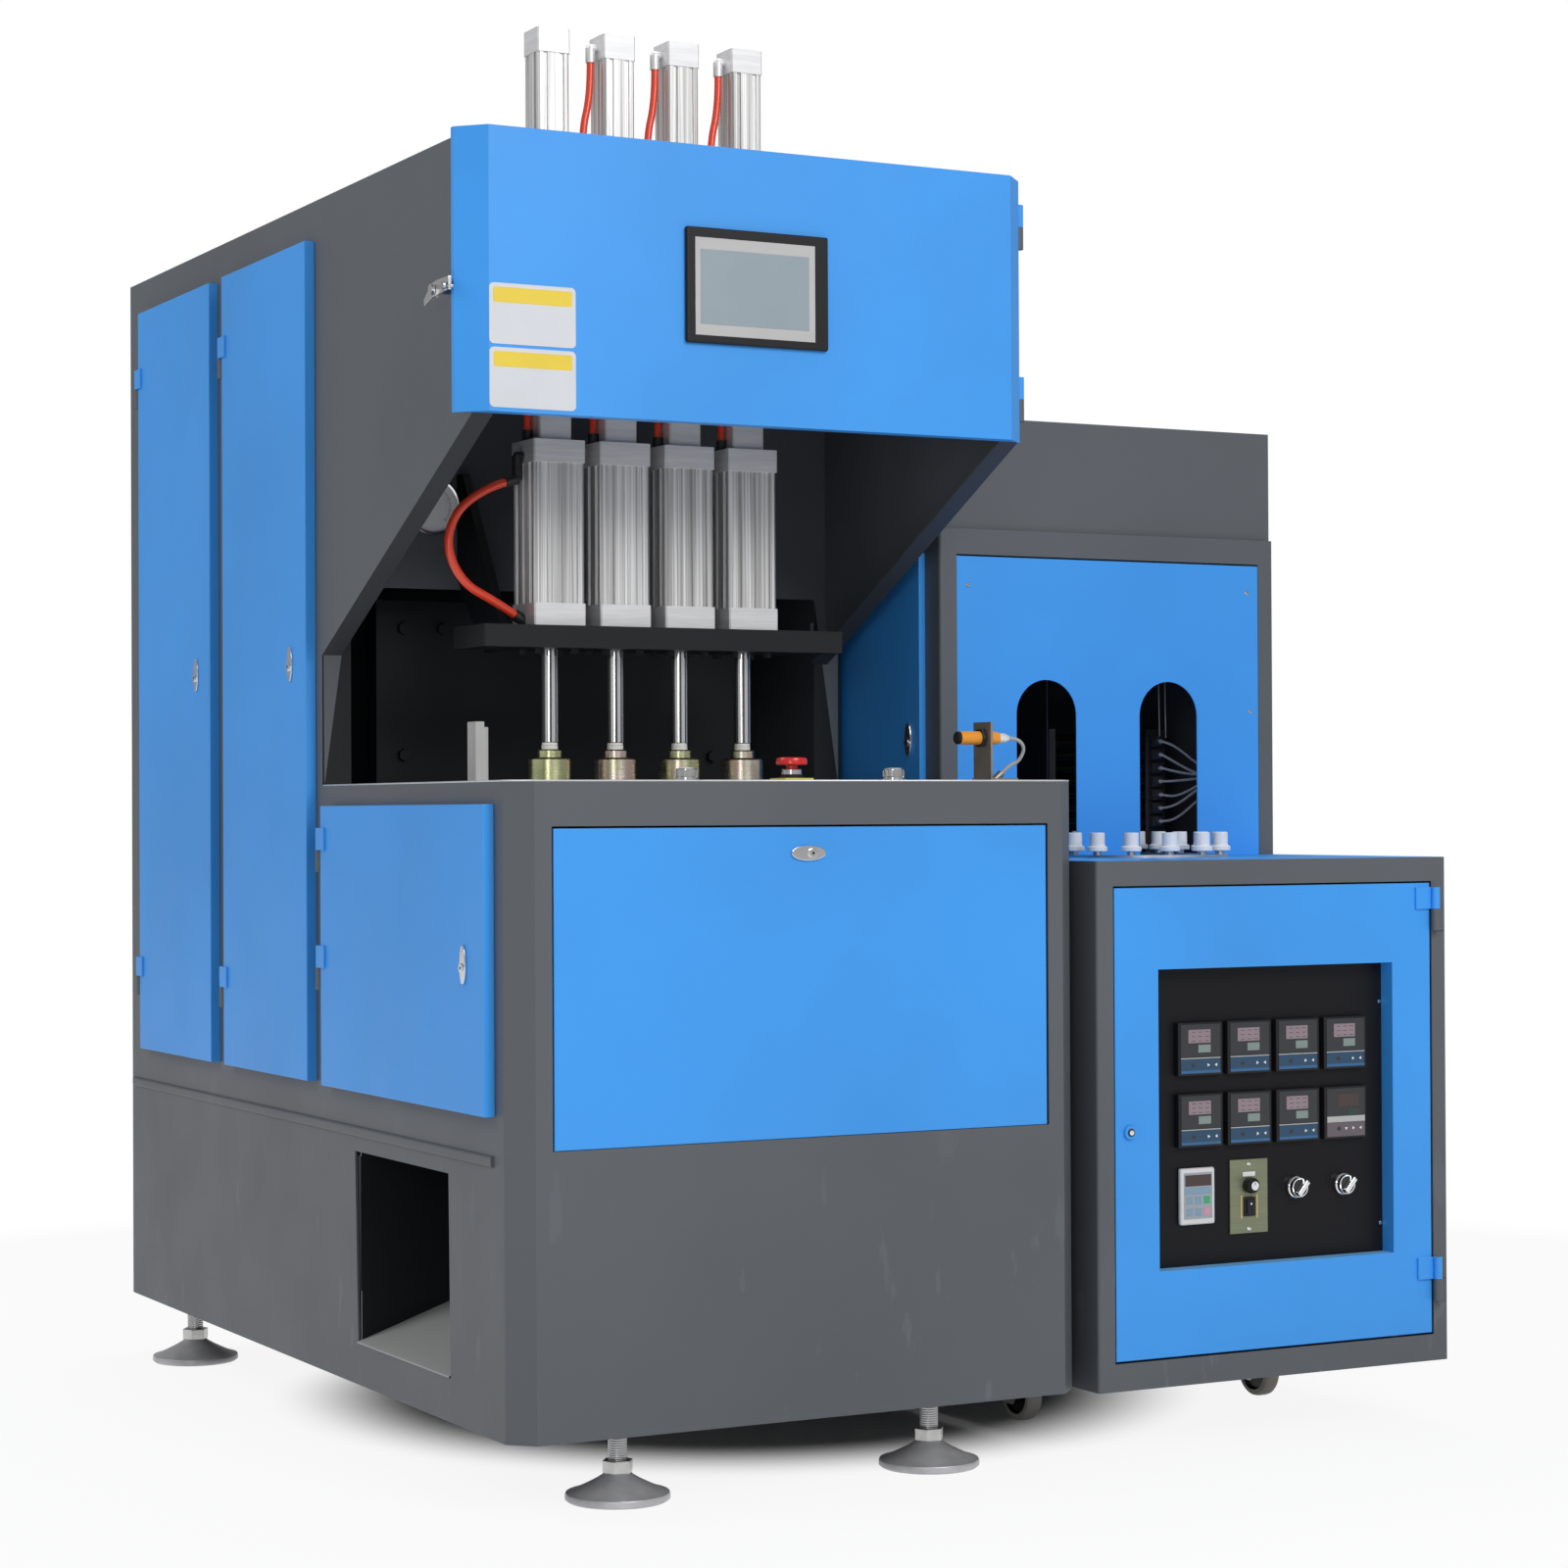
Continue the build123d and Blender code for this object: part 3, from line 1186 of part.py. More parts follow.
def make_oven_lamps():
    """Two banks of tube lamps beside the runs, with end plates, and the inner reflector."""
    z0 = heater_table_z
    top = lamp_bottom_z + lamp_pitch * (lamp_rows - 1) + 18
    y0, y1 = lamp_y
    group = block(loop_centre_x - 6, loop_centre_x + 6, y0, y1, z0, top)
    for side in (-1, 1):
        x = loop_centre_x + side * lamp_offset
        for y in (y0 + 12, y1 - 15):
            group += block(x - 16, x + 16, y, y + 3, z0, top)
        reflector = x + side * 16
        group += block(min(reflector, reflector + side * 3), max(reflector, reflector + side * 3),
                       y0 + 12, y1 - 12, z0, top)
        for row in range(lamp_rows):
            z = lamp_bottom_z + row * lamp_pitch
            group += bar((x, y0 + 15, z), (x, y1 - 15, z), 5.0)
            group += block(x - 11, x + 11, y0, y0 + 12, z - 8, z + 8)
    return group


def caster_fork(x, y, trail):
    """Pressed fork with its axle, the wheel's axle trailing behind the swivel."""
    z_top = heater_bottom_z - 4.0
    axle_z = wheel_radius
    axle_y = y + trail
    inner = wheel_width / 2 + 3.0
    outer = inner + 3.0
    fork = Part()
    for x0, x1 in ((x - outer, x - inner), (x + inner, x + outer)):
        side = [
            (y - 20, z_top - 8),
            (y + 20, z_top - 8),
            (axle_y + 14, axle_z - 4),
            (axle_y + 8, axle_z - 13),
            (axle_y - 8, axle_z - 13),
            (axle_y - 14, axle_z - 4),
        ]
        fork += profile_plate(side, side_plane(x0), x1 - x0)
    fork += block(x - outer, x + outer, y - 20, y + 20, z_top - 8.5, z_top - (0 if trail == 0 else 0.3))
    fork += bar((x - outer - 4, axle_y, axle_z), (x + outer + 4, axle_y, axle_z), 5.0)
    return fork


def make_caster_mounts():
    """Plates under the cabinet: two with swivel pins in front, two with fixed forks at the back."""
    top = heater_bottom_z
    mounts = Part()
    for x in caster_x:
        for y in (caster_front_y, caster_rear_y):
            mounts += block(x - 45, x + 45, y - 40, y + 40, top - 4, top)
        mounts += caster_fork(x, caster_rear_y, 0.0)
        mounts += bar((x, caster_front_y, top - 16), (x, caster_front_y, top - 3), 6.0)
        mounts += bar((x, caster_front_y, top - 16), (x, caster_front_y, top - 12.8), 8.0)
    return mounts


def make_swivel_fork(x):
    fork = caster_fork(x, caster_front_y, caster_trail)
    return fork - bar((x, caster_front_y, heater_bottom_z - 15), (x, caster_front_y, heater_bottom_z),
                      6.0 + running_gap)


def make_wheel(x, y):
    """Tyre and hub turned as one body with a hollowed side."""
    half = wheel_width / 2
    r = wheel_radius
    outline = [
        (5.0 + running_gap, -half),
        (12.0, -half),
        (14.0, -half + 5),
        (r - 12, -half + 5),
        (r - 10, -half + 1),
        (r - 3, -half + 1),
        (r, -half + 5),
    ]
    outline += [(radius, -offset) for radius, offset in reversed(outline)]
    section = Plane(origin=(x, y, r), x_dir=(0, 1, 0), z_dir=(0, 0, 1)) * Polygon(
        *[(radius, -offset) for radius, offset in outline], align=None)
    return revolve(section, Axis((x, y, r), (1, 0, 0)))


parts["front_cabinet"] = make_front_cabinet()
parts["rear_cabinet"] = make_rear_cabinet()
parts["hood_frame"] = make_hood_frame()
parts["hood_cover"] = make_hood_cover()
parts["touch_screen"] = make_touch_screen()
parts["hood_latch"] = make_hood_latch()
parts["table_plate"] = make_table_plate()
parts["chute"] = make_chute()
parts["front_panel"] = make_front_panel()
parts["rear_door"] = make_side_door(rear_door_y, tall_door_z, tall_hinge_z, tall_lock_z)
parts["middle_door"] = make_side_door(middle_door_y, tall_door_z, tall_hinge_z, tall_lock_z)
parts["low_door"] = make_side_door(low_door_y, low_door_z, low_hinge_z, low_lock_z)
parts["door_hinges"] = make_door_hinges()
parts["levelling_feet"] = make_levelling_feet()
parts["cylinder_plate"] = make_cylinder_plate()
parts["blow_cylinders"] = make_blow_cylinders()
parts["stretch_cylinders"] = make_stretch_cylinders()
for number, x in enumerate(station_x, 1):
    parts[f"blow_rod_{number}"] = make_blow_rod(x)
    parts[f"blow_nozzle_{number}"] = make_blow_nozzle(x)
parts["stretch_rods"] = make_stretch_rods()
parts["clamp_frame"] = make_clamp_frame()
parts["moving_platen"] = make_moving_platen()
parts["clamp_cylinder"] = make_clamp_cylinder()
parts["clamp_rod"] = make_clamp_rod()
parts["front_mould"] = make_mould_half(fixed_platen_back_y, station_y - mould_gap / 2)
parts["rear_mould"] = make_mould_half(station_y + mould_gap / 2, platen_front_y)
parts["control_collars"] = make_control_collars()
parts["stop_button"] = make_stop_button()
parts["start_button_left"] = make_start_button(start_x[0])
parts["start_button_right"] = make_start_button(start_x[1])
parts["sensor_bracket"] = make_sensor_bracket()
parts["sensor"] = make_sensor()
parts["sensor_cable"] = make_sensor_cable()
parts["pressure_gauge"] = make_gauge()
parts["air_hoses"] = make_air_hoses()
parts["heater_cabinet"] = make_heater_cabinet()
parts["heater_door"] = make_heater_door()
parts["control_panel"] = make_control_panel()
parts["panel_instruments"] = make_panel_instruments()
parts["speed_knob"] = make_speed_knob()
parts["selector_left"] = make_selector(selector_places[0])
parts["selector_right"] = make_selector(selector_places[1])
parts["oven_housing"] = make_oven_housing()
parts["oven_side_door"] = make_oven_side_door()
parts["oven_front"] = make_oven_front()
parts["preform_chain"] = make_preform_chain()
parts["oven_lamps"] = make_oven_lamps()
parts["caster_mounts"] = make_caster_mounts()
for side, x in zip(("left", "right"), caster_x):
    parts[f"caster_fork_{side}"] = make_swivel_fork(x)
    parts[f"front_wheel_{side}"] = make_wheel(x, caster_front_y + caster_trail)
    parts[f"rear_wheel_{side}"] = make_wheel(x, caster_rear_y)

# The part's origin is the middle of its footprint, on the floor
boxes = [part.bounding_box() for part in parts.values()]
low = Vector(*[min(tuple(box.min)[i] for box in boxes) for i in range(3)])
high = Vector(*[max(tuple(box.max)[i] for box in boxes) for i in range(3)])
shift = Vector(-(low.X + high.X) / 2, -(low.Y + high.Y) / 2, -low.Z)

os.makedirs("parts", exist_ok=True)
for name, part in parts.items():
    export_step(Pos(shift) * part, f"parts/{name}.step")
print("nodes", len(parts), "shift", shift, "low", low, "high", high)
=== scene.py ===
import math

import bmesh
import bpy
from mathutils import Matrix, Vector


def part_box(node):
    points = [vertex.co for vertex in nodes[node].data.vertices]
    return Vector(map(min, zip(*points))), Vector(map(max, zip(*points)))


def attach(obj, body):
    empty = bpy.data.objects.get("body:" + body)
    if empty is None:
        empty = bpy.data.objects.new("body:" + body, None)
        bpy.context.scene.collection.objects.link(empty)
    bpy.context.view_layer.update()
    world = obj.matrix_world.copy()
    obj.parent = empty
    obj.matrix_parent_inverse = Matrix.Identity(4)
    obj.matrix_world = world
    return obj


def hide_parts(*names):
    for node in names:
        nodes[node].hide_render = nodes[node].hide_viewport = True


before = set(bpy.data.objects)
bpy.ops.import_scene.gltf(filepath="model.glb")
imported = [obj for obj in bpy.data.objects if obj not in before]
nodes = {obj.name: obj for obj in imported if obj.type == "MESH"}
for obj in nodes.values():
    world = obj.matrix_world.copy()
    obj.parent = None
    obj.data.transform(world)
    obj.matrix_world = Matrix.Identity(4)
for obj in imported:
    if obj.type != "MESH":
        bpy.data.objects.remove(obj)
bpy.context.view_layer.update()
mm = 0.001
railProud = 0.004
frontLeft = Vector((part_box("rear_cabinet")[0].x + railProud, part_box("front_cabinet")[0].y, 0))
print("frame loaded,", len(nodes), "nodes")


def at(x, y, z):  # millimetres from the blowing unit's front left corner on the floor
    return frontLeft + Vector((x, y, z)) * mm


def middle(name):
    low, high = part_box(name)
    return (low + high) / 2


# Shader maths: a socket that adds, multiplies and so on
class Wire:
    def __init__(self, paint, socket):
        self.paint = paint
        self.socket = socket

    def maths(self, operation, first, second=0.0):
        return self.paint.node("ShaderNodeMath", {"operation": operation}, {0: first, 1: second})

    def __add__(self, other):
        return self.maths("ADD", self, other)

    def __sub__(self, other):
        return self.maths("SUBTRACT", self, other)

    def __rsub__(self, other):
        return self.maths("SUBTRACT", other, self)

    def __mul__(self, other):
        return self.maths("MULTIPLY", self, other)

    def above(self, edge, soft):  # 0 below the edge, 1 above it, over a soft step
        sockets = {"Value": self, "From Min": edge - soft, "From Max": edge + soft}
        return self.paint.node("ShaderNodeMapRange", {"interpolation_type": "SMOOTHSTEP"}, sockets)


# One material and its nodes
class Paint:
    def __init__(self, name, colour, roughness, metallic=0.0, coat=0.0):
        self.material = bpy.data.materials.new(name)
        self.material.use_nodes = True
        self.tree = self.material.node_tree
        self.shader = self.tree.nodes["Principled BSDF"]
        self.colour = (*colour, 1.0)
        self.set("Base Color", self.colour)
        self.set("Roughness", roughness)
        self.set("Metallic", metallic)
        self.set("Coat Weight", coat)
        self.place = self.node("ShaderNodeTexCoord", out="Object")

    def feed(self, socket, value):
        if isinstance(value, Wire):
            self.tree.links.new(value.socket, socket)
        else:
            socket.default_value = value

    def set(self, name, value):
        self.feed(self.shader.inputs[name], value)

    def node(self, kind, settings=None, sockets=None, out=0):
        made = self.tree.nodes.new(kind)
        for name, value in (settings or {}).items():
            if name == "stops":
                ramp = made.color_ramp.elements
                while len(ramp) < len(value):
                    ramp.new(1.0)
                for element, (position, colour) in zip(ramp, value):
                    element.position = position
                    element.color = (*colour, 1.0)
            else:
                setattr(made, name, value)
        for key, value in (sockets or {}).items():
            self.feed(made.inputs[key], value)
        return Wire(self, made.outputs[out])

    def stretched(self, scale):
        return self.node("ShaderNodeMapping", None, {"Vector": self.place, "Scale": scale})

    def noise(self, scale, detail=3.0, stretch=(1, 1, 1)):
        sockets = {"Vector": self.stretched(stretch), "Scale": scale, "Detail": detail}
        return self.node("ShaderNodeTexNoise", None, sockets)

    def mix(self, factor, first, second):
        sockets = {0: factor, 6: first, 7: second}
        return self.node("ShaderNodeMix", {"data_type": "RGBA"}, sockets, 2)

    def bump(self, height, strength, distance):
        sockets = {"Height": height, "Strength": strength, "Distance": distance}
        self.set("Normal", self.node("ShaderNodeBump", None, sockets))

    def shade(self, share):  # the base colour made lighter or darker
        return (*[min(1.0, c * share) for c in self.colour[:3]], 1.0)

    def tones(self, factor, first, second):  # from one shade of the base colour to another
        return self.mix(factor, self.shade(first), self.shade(second))


# Powder coat: fine orange peel, faint clouding, and rubbed marks low down
def powderCoat(name, colour, roughness, rubbed=0.0, gloss=0.5):
    paint = Paint(name, colour, roughness)
    clouds = paint.noise(2.4, 4)
    tone = paint.tones(clouds.above(0.5, 0.22), 0.93, 1.06)
    scuffs = paint.noise(26, 6, (1, 1, 0.3)).above(0.66, 0.03)
    low = 1 - paint.node("ShaderNodeSeparateXYZ", None, {0: paint.place}, 2).above(0.35, 0.3)
    paint.set("Base Color", paint.mix(scuffs * low * rubbed, tone, paint.shade(1.9)))
    paint.set("Roughness", paint.noise(9, 3) * 0.14 + (roughness - 0.07))
    paint.set("Specular IOR Level", gloss)
    peel = paint.noise(900, 2) * 0.6 + paint.noise(230, 1)
    paint.bump(peel, 0.10, 0.0004)
    return paint.material


# Drawn or ground metal: fine lines along one direction
def grainedMetal(name, colour, roughness, stretch, contrast=0.25, lines=1.0, metallic=0.7):
    paint = Paint(name, colour, roughness, metallic)
    fine = paint.noise(6, 2, stretch)
    broad = paint.noise(1.2, 1, stretch)
    grain = fine * 0.55 + broad * 0.45
    tone = paint.tones(grain.above(0.5, 0.16), 1 - contrast, 1 + contrast * 0.5)
    paint.set("Base Color", tone)
    paint.set("Roughness", grain * 0.3 + (roughness - 0.15))
    paint.bump(fine, 0.12 * lines, 0.0003)
    return paint.material


def smoothMetal(name, colour, roughness):
    paint = Paint(name, colour, roughness, metallic=1.0)
    breath = paint.noise(14, 4)
    paint.set("Base Color", paint.tones(breath, 0.94, 1.03))
    paint.set("Roughness", paint.noise(60, 3) * 0.08 + (roughness - 0.04))
    return paint.material


# Chrome with a painted reflection of the dark working space behind: upright dark bands in its colour, the
# same on each rod
def bandedChrome(name, colour, pitch, start):
    paint = Paint(name, colour, 0.12, metallic=0.75)
    across = paint.node("ShaderNodeSeparateXYZ", None, {0: paint.place}, 0) - start
    stripe = across.maths("PINGPONG", across, pitch / 2) * (2 / pitch)
    waver = paint.noise(20, 2, (1, 1, 0.3)) * 0.24 - 0.12
    dark = (stripe + waver).above(0.68, 0.14)
    paint.set("Base Color", paint.tones(dark, 1.0, 0.10))
    paint.set("Roughness", paint.noise(60, 3) * 0.08 + 0.08)
    return paint.material


# Yellow passivated zinc, with green and pink patches
def passivated(name, tint):
    paint = Paint(name, (0.74, 0.68, 0.46), 0.3, metallic=1.0)
    stops = [(0.30, (0.60, 0.66, 0.34)), (0.5, tint), (0.72, (0.80, 0.56, 0.50))]
    patches = paint.node("ShaderNodeValToRGB", {"stops": stops}, {"Fac": paint.noise(34, 3, (1, 1, 0.4))})
    paint.set("Base Color", patches)
    rings = paint.noise(5, 2, (3, 3, 900))
    paint.set("Roughness", rings * 0.2 + 0.16)
    paint.bump(rings, 0.15, 0.0003)
    return paint.material


def castMetal(name, colour, roughness, metallic):
    paint = Paint(name, colour, roughness, metallic)
    paint.set("Base Color", paint.tones(paint.noise(45, 5), 0.72, 1.28))
    paint.set("Roughness", paint.noise(120, 3) * 0.2 + (roughness - 0.1))
    paint.bump(paint.noise(420, 4), 0.22, 0.0005)
    return paint.material


def moulded(name, colour, roughness, coat=0.0, grain=700, gloss=0.5):
    paint = Paint(name, colour, roughness, coat=coat)
    paint.set("Base Color", paint.tones(paint.noise(20, 3), 0.94, 1.05))
    paint.set("Roughness", paint.noise(80, 2) * 0.1 + (roughness - 0.05))
    paint.set("Specular IOR Level", gloss)
    paint.bump(paint.noise(grain, 2), 0.08, 0.0002)
    return paint.material


# Threaded bar: fine rings along it
def threaded(name, colour, pitch):
    paint = Paint(name, colour, 0.35, metallic=1.0)
    height = paint.node("ShaderNodeSeparateXYZ", None, {0: paint.place}, 2)
    ridge = height.maths("PINGPONG", height, pitch / 2) * (2 / pitch)
    paint.set("Base Color", paint.tones(ridge, 0.45, 1.05))
    paint.bump(ridge, 0.6, 0.0006)
    return paint.material


greyCoat = powderCoat("grey_coat", (0.098, 0.109, 0.123), 0.5, 0.32)
blueCoat = powderCoat("blue_coat", (0.045, 0.335, 0.880), 0.45)
# Black coat; also used as painted shade in the working area, in the outlet and on a gap sheet
blackCoatAndShade = powderCoat("black_coat_and_shade", (0.008, 0.0095, 0.012), 0.50, 0.0, 0.3)
# A darker grey that stands for shade: painted shade on the hood frame's downward faces and on a sheet in the
# gap at the heating unit's door
paintedShadeGrey = powderCoat("painted_shade_grey", (0.046, 0.050, 0.058), 0.6)
tubeAlloy = grainedMetal("tube_alloy", (0.86, 0.85, 0.83), 0.42, (150, 150, 0.5), 0.5, 1.0, 0.6)
headAlloy = grainedMetal("head_alloy", (0.85, 0.85, 0.86), 0.42, (4, 4, 120), 0.08, 0.5, 0.4)
tableSteel = grainedMetal("table_steel", (0.50, 0.51, 0.53), 0.38, (1.5, 90, 1.5), 0.10, 0.5)
railAlloy = grainedMetal("rail_alloy", (0.50, 0.50, 0.49), 0.5, (90, 90, 1), 0.12, 0.5, 0.5)
rodChrome = smoothMetal("rod_chrome", (0.88, 0.88, 0.89), 0.09)
stationPitch = 97.6
stationX = [396 + (i - 1.5) * stationPitch for i in range(4)]
bandPitch = stationPitch * mm / 13  # so that each rod shows the same bands
bandStart = at(stationX[0], 0, 0).x + 0.0007
shaftChrome = bandedChrome("shaft_chrome", (0.92, 0.92, 0.94), bandPitch, bandStart)
trimChrome = smoothMetal("trim_chrome", (0.78, 0.78, 0.79), 0.17)
pinSteel = smoothMetal("pin_steel", (0.55, 0.55, 0.56), 0.32)
cupTints = [(0.68, 0.70, 0.40), (0.80, 0.66, 0.60), (0.72, 0.68, 0.48), (0.70, 0.68, 0.55)]
zincCups = [passivated(f"zinc_cup_{number}", tint) for number, tint in enumerate(cupTints, 1)]
footIron = castMetal("foot_iron", (0.56, 0.56, 0.58), 0.4, 0.35)
zincSheet = castMetal("zinc_sheet", (0.62, 0.62, 0.61), 0.36, 0.9)
darkSteel = castMetal("dark_steel", (0.05, 0.05, 0.052), 0.42, 0.6)
mouldAlloy = grainedMetal("mould_alloy", (0.66, 0.67, 0.69), 0.36, (60, 2, 60), 0.12, 0.5)
chutePaint = moulded("chute_paint", (0.40, 0.41, 0.41), 0.55)
nylon = moulded("nylon", (0.78, 0.77, 0.74), 0.45)
mandrelWhite = moulded("mandrel_white", (0.86, 0.87, 0.88), 0.6)
redGloss = moulded("red_gloss", (0.72, 0.018, 0.018), 0.28, 0.3)
yellowPlate = moulded("yellow_plate", (0.70, 0.62, 0.10), 0.45)
orangePlastic = moulded("orange_plastic", (0.88, 0.34, 0.03), 0.35, 0.2)
blackPlastic = moulded("black_plastic", (0.011, 0.011, 0.013), 0.42, 0.0, 700, 0.3)
panelBlack = moulded("panel_black", (0.006, 0.006, 0.008), 0.45, 0.0, 300, 0.2)
wheelGrey = moulded("wheel_grey", (0.60, 0.58, 0.53), 0.6)
hoseRed = moulded("hose_red", (0.95, 0.070, 0.028), 0.3, 0.3)
cableGrey = moulded("cable_grey", (0.40, 0.41, 0.42), 0.45)
leadWhite = moulded("lead_white", (0.95, 0.94, 0.92), 0.5)
labelWhite = moulded("label_white", (0.68, 0.70, 0.74), 0.4)
dialWhite = moulded("dial_white", (0.97, 0.97, 1.0), 0.4)
bracketSteel = castMetal("bracket_steel", (0.34, 0.31, 0.28), 0.4, 0.8)
holderGrey = moulded("holder_grey", (0.055, 0.055, 0.06), 0.5)
# A lighter blue for upward faces: a painted highlight
highlightBlue = moulded("painted_highlight_blue", (0.22, 0.56, 0.98), 0.4)
labelYellow = moulded("label_yellow", (0.84, 0.62, 0.05), 0.4)
thread = threaded("thread", (0.62, 0.62, 0.63), 0.003)
print("materials made")


def shown(name, data):
    made = bpy.data.objects.new(name, data)
    bpy.context.scene.collection.objects.link(made)
    return made


# A piece in the making, built from bmesh operators
class Form:
    def __init__(self):
        self.mesh = bmesh.new()
        self.paints = []

    def paintIndex(self, material):
        if material not in self.paints:
            self.paints.append(material)
        return self.paints.index(material)

    def fresh(self, old, material):  # the faces made since old was noted, given their material
        index = self.paintIndex(material)
        made = [face for face in self.mesh.faces if face not in old]
        for face in made:
            face.material_index = index
        return made

    def block(self, low, high, material, bevel=0.0, segments=2):
        old = set(self.mesh.faces)
        verts = bmesh.ops.create_cube(self.mesh, size=1)["verts"]
        bmesh.ops.scale(self.mesh, vec=high - low, verts=verts)
        bmesh.ops.translate(self.mesh, vec=(low + high) / 2, verts=verts)
        if bevel:
            self.soften(verts, bevel, segments)
        return self.fresh(old, material)

    def rounded(self, low, high, material, radius):  # a thin upright plate with round corners
        faces = self.block(low, high, material)
        edges = {edge for face in faces for edge in face.edges}
        across = [edge for edge in edges if abs(edge.verts[0].co.y - edge.verts[1].co.y) > 1e-6]
        self.bevel(across, radius, 5)

    def soften(self, verts, width, segments=2):
        self.bevel(list({edge for vert in verts for edge in vert.link_edges}), width, segments)

    def bevel(self, edges, width, segments):
        bmesh.ops.bevel(self.mesh, geom=edges, offset=width, offset_type="OFFSET", segments=segments,
                        profile=0.5, affect="EDGES", material=-1)

    def turned(self, outline, base, axis, material, steps=48, bored=False):
        old = set(self.mesh.faces)
        oldVerts = set(self.mesh.verts)
        ring = [self.mesh.verts.new((radius * mm, 0, height * mm)) for radius, height in outline]
        pairs = list(zip(ring, ring[1:]))
        if bored:
            pairs.append((ring[-1], ring[0]))
        edges = [self.mesh.edges.new(pair) for pair in pairs]
        bmesh.ops.spin(self.mesh, geom=ring + edges, cent=(0, 0, 0), axis=(0, 0, 1), angle=2 * math.pi,
                       steps=steps, use_merge=True, use_duplicate=False)
        verts = [vert for vert in self.mesh.verts if vert not in oldVerts]
        bmesh.ops.remove_doubles(self.mesh, verts=verts, dist=1e-6)
        faces = self.fresh(old, material)
        bmesh.ops.recalc_face_normals(self.mesh, faces=faces)
        self.move(faces, Matrix.Translation(base) @ axis)

    def move(self, faces, matrix):
        verts = list({vert for face in faces for vert in face.verts})
        bmesh.ops.transform(self.mesh, matrix=matrix, verts=verts)

    def prism(self, centre, radius, sides, height, axis, material, bevel=0.0, spin=0.0, squeeze=(1, 1, 1)):
        old = set(self.mesh.faces)
        verts = bmesh.ops.create_cone(self.mesh, cap_ends=True, segments=sides, radius1=radius * mm,
                                      radius2=radius * mm, depth=height * mm)["verts"]
        bmesh.ops.translate(self.mesh, vec=(0, 0, height * mm / 2), verts=verts)
        bmesh.ops.rotate(self.mesh, cent=(0, 0, 0), matrix=Matrix.Rotation(spin, 3, "Z"), verts=verts)
        bmesh.ops.scale(self.mesh, vec=squeeze, verts=verts)
        bmesh.ops.transform(self.mesh, matrix=Matrix.Translation(centre) @ axis, verts=verts)
        if bevel:
            self.soften(verts, bevel * mm)
        self.fresh(old, material)

    def piece(self, name, body, replaced=(), slot=None):
        for face in self.mesh.faces:
            face.smooth = True
        for edge in self.mesh.edges:
            edge.smooth = edge.calc_face_angle(0) < math.radians(34)
        data = bpy.data.meshes.new(name)
        self.mesh.to_mesh(data)
        self.mesh.free()
        for material in self.paints:
            data.materials.append(material)
        made = shown(name, data)
        flatten(made)
        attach(made, body)
        if replaced:
            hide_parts(*replaced)
        return made


upward = Matrix.Identity(4)
toRight = Matrix.Rotation(math.pi / 2, 4, "Y")
toLeft = Matrix.Rotation(-math.pi / 2, 4, "Y")
toFront = Matrix.Rotation(math.pi / 2, 4, "X")
toBack = Matrix.Rotation(-math.pi / 2, 4, "X")


# Outlines are radius and height of each corner, in millimetres
def sleeve(inner, outer, low, high):
    return [(inner, low), (outer, low), (outer, high), (inner, high)]


def mirrored(outline):  # the other side's corners, then those given
    return [(radius, -height) for radius, height in outline] + outline[::-1]


# Large faces keep flat shading up to their softened edges
def flatten(piece):
    normals = piece.modifiers.new("normals", "WEIGHTED_NORMAL")
    normals.keep_sharp = True
    normals.weight = 90


# CAD nodes that stay: their finish, softened edges and smooth round faces
def dress(name, material, bevel=0.0008, others=()):
    node = nodes[name]
    mesh = node.data
    mesh.materials.clear()
    mesh.materials.append(material)
    for extra, _ in others:
        mesh.materials.append(extra)
    for polygon in mesh.polygons:
        polygon.use_smooth = True
        polygon.material_index = 0
        spot = (polygon.center - frontLeft) / mm
        for index, (_, chosen) in enumerate(others, 1):
            if chosen(spot, polygon.normal):
                polygon.material_index = index
    weld = node.modifiers.new("weld", "WELD")
    weld.merge_threshold = 1e-5
    if bevel:
        edges = node.modifiers.new("edges", "BEVEL")
        edges.limit_method = "ANGLE"
        edges.angle_limit = math.radians(50)
        edges.width = bevel
        edges.segments = 2
        edges.use_clamp_overlap = True
    split = node.modifiers.new("split", "EDGE_SPLIT")
    split.split_angle = math.radians(32)
    flatten(node)


def within(value, limits):
    return limits[0] < value < limits[1]


# Where a node changes its finish or gets painted shade or highlight: places in millimetres, and shares of a
# face's normal
square = 0.9  # a face with this share of its normal along an axis counts as square to it
bevels = {"sheet": 0.0008, "panel": 0.0011, "plate": 0.001, "steel": 0.0006, "tube": 0.0005, "small": 0.0004}
hood = {"sloping": -0.3, "underside": 1400, "stud": -1, "keeper": -24.5}
shadedBay = {"y": (640, 670), "top": 1180}
guide = {"x": (86, 110), "above": 898}
heaterTop = 789.5
outletBack = 523
headBands = ((1100, 1139.2), (1327.8, 1392.2), (1882.8, 1917))
fittings = {"left": 211.4, "z": (1359.5, 1374)}
holders = {"left": 1200, "y": (549, 566)}

for name in ("front_cabinet", "oven_housing", "door_hinges"):
    dress(name, greyCoat)
# The hood frame's faces that slope downwards below the hood get the darker grey: painted shade
dress("hood_frame", greyCoat, bevels["sheet"], [
    (paintedShadeGrey, lambda spot, normal: normal.z < hood["sloping"] and spot.z < hood["underside"]),
    (trimChrome, lambda spot, normal: spot.x < hood["stud"]),
])
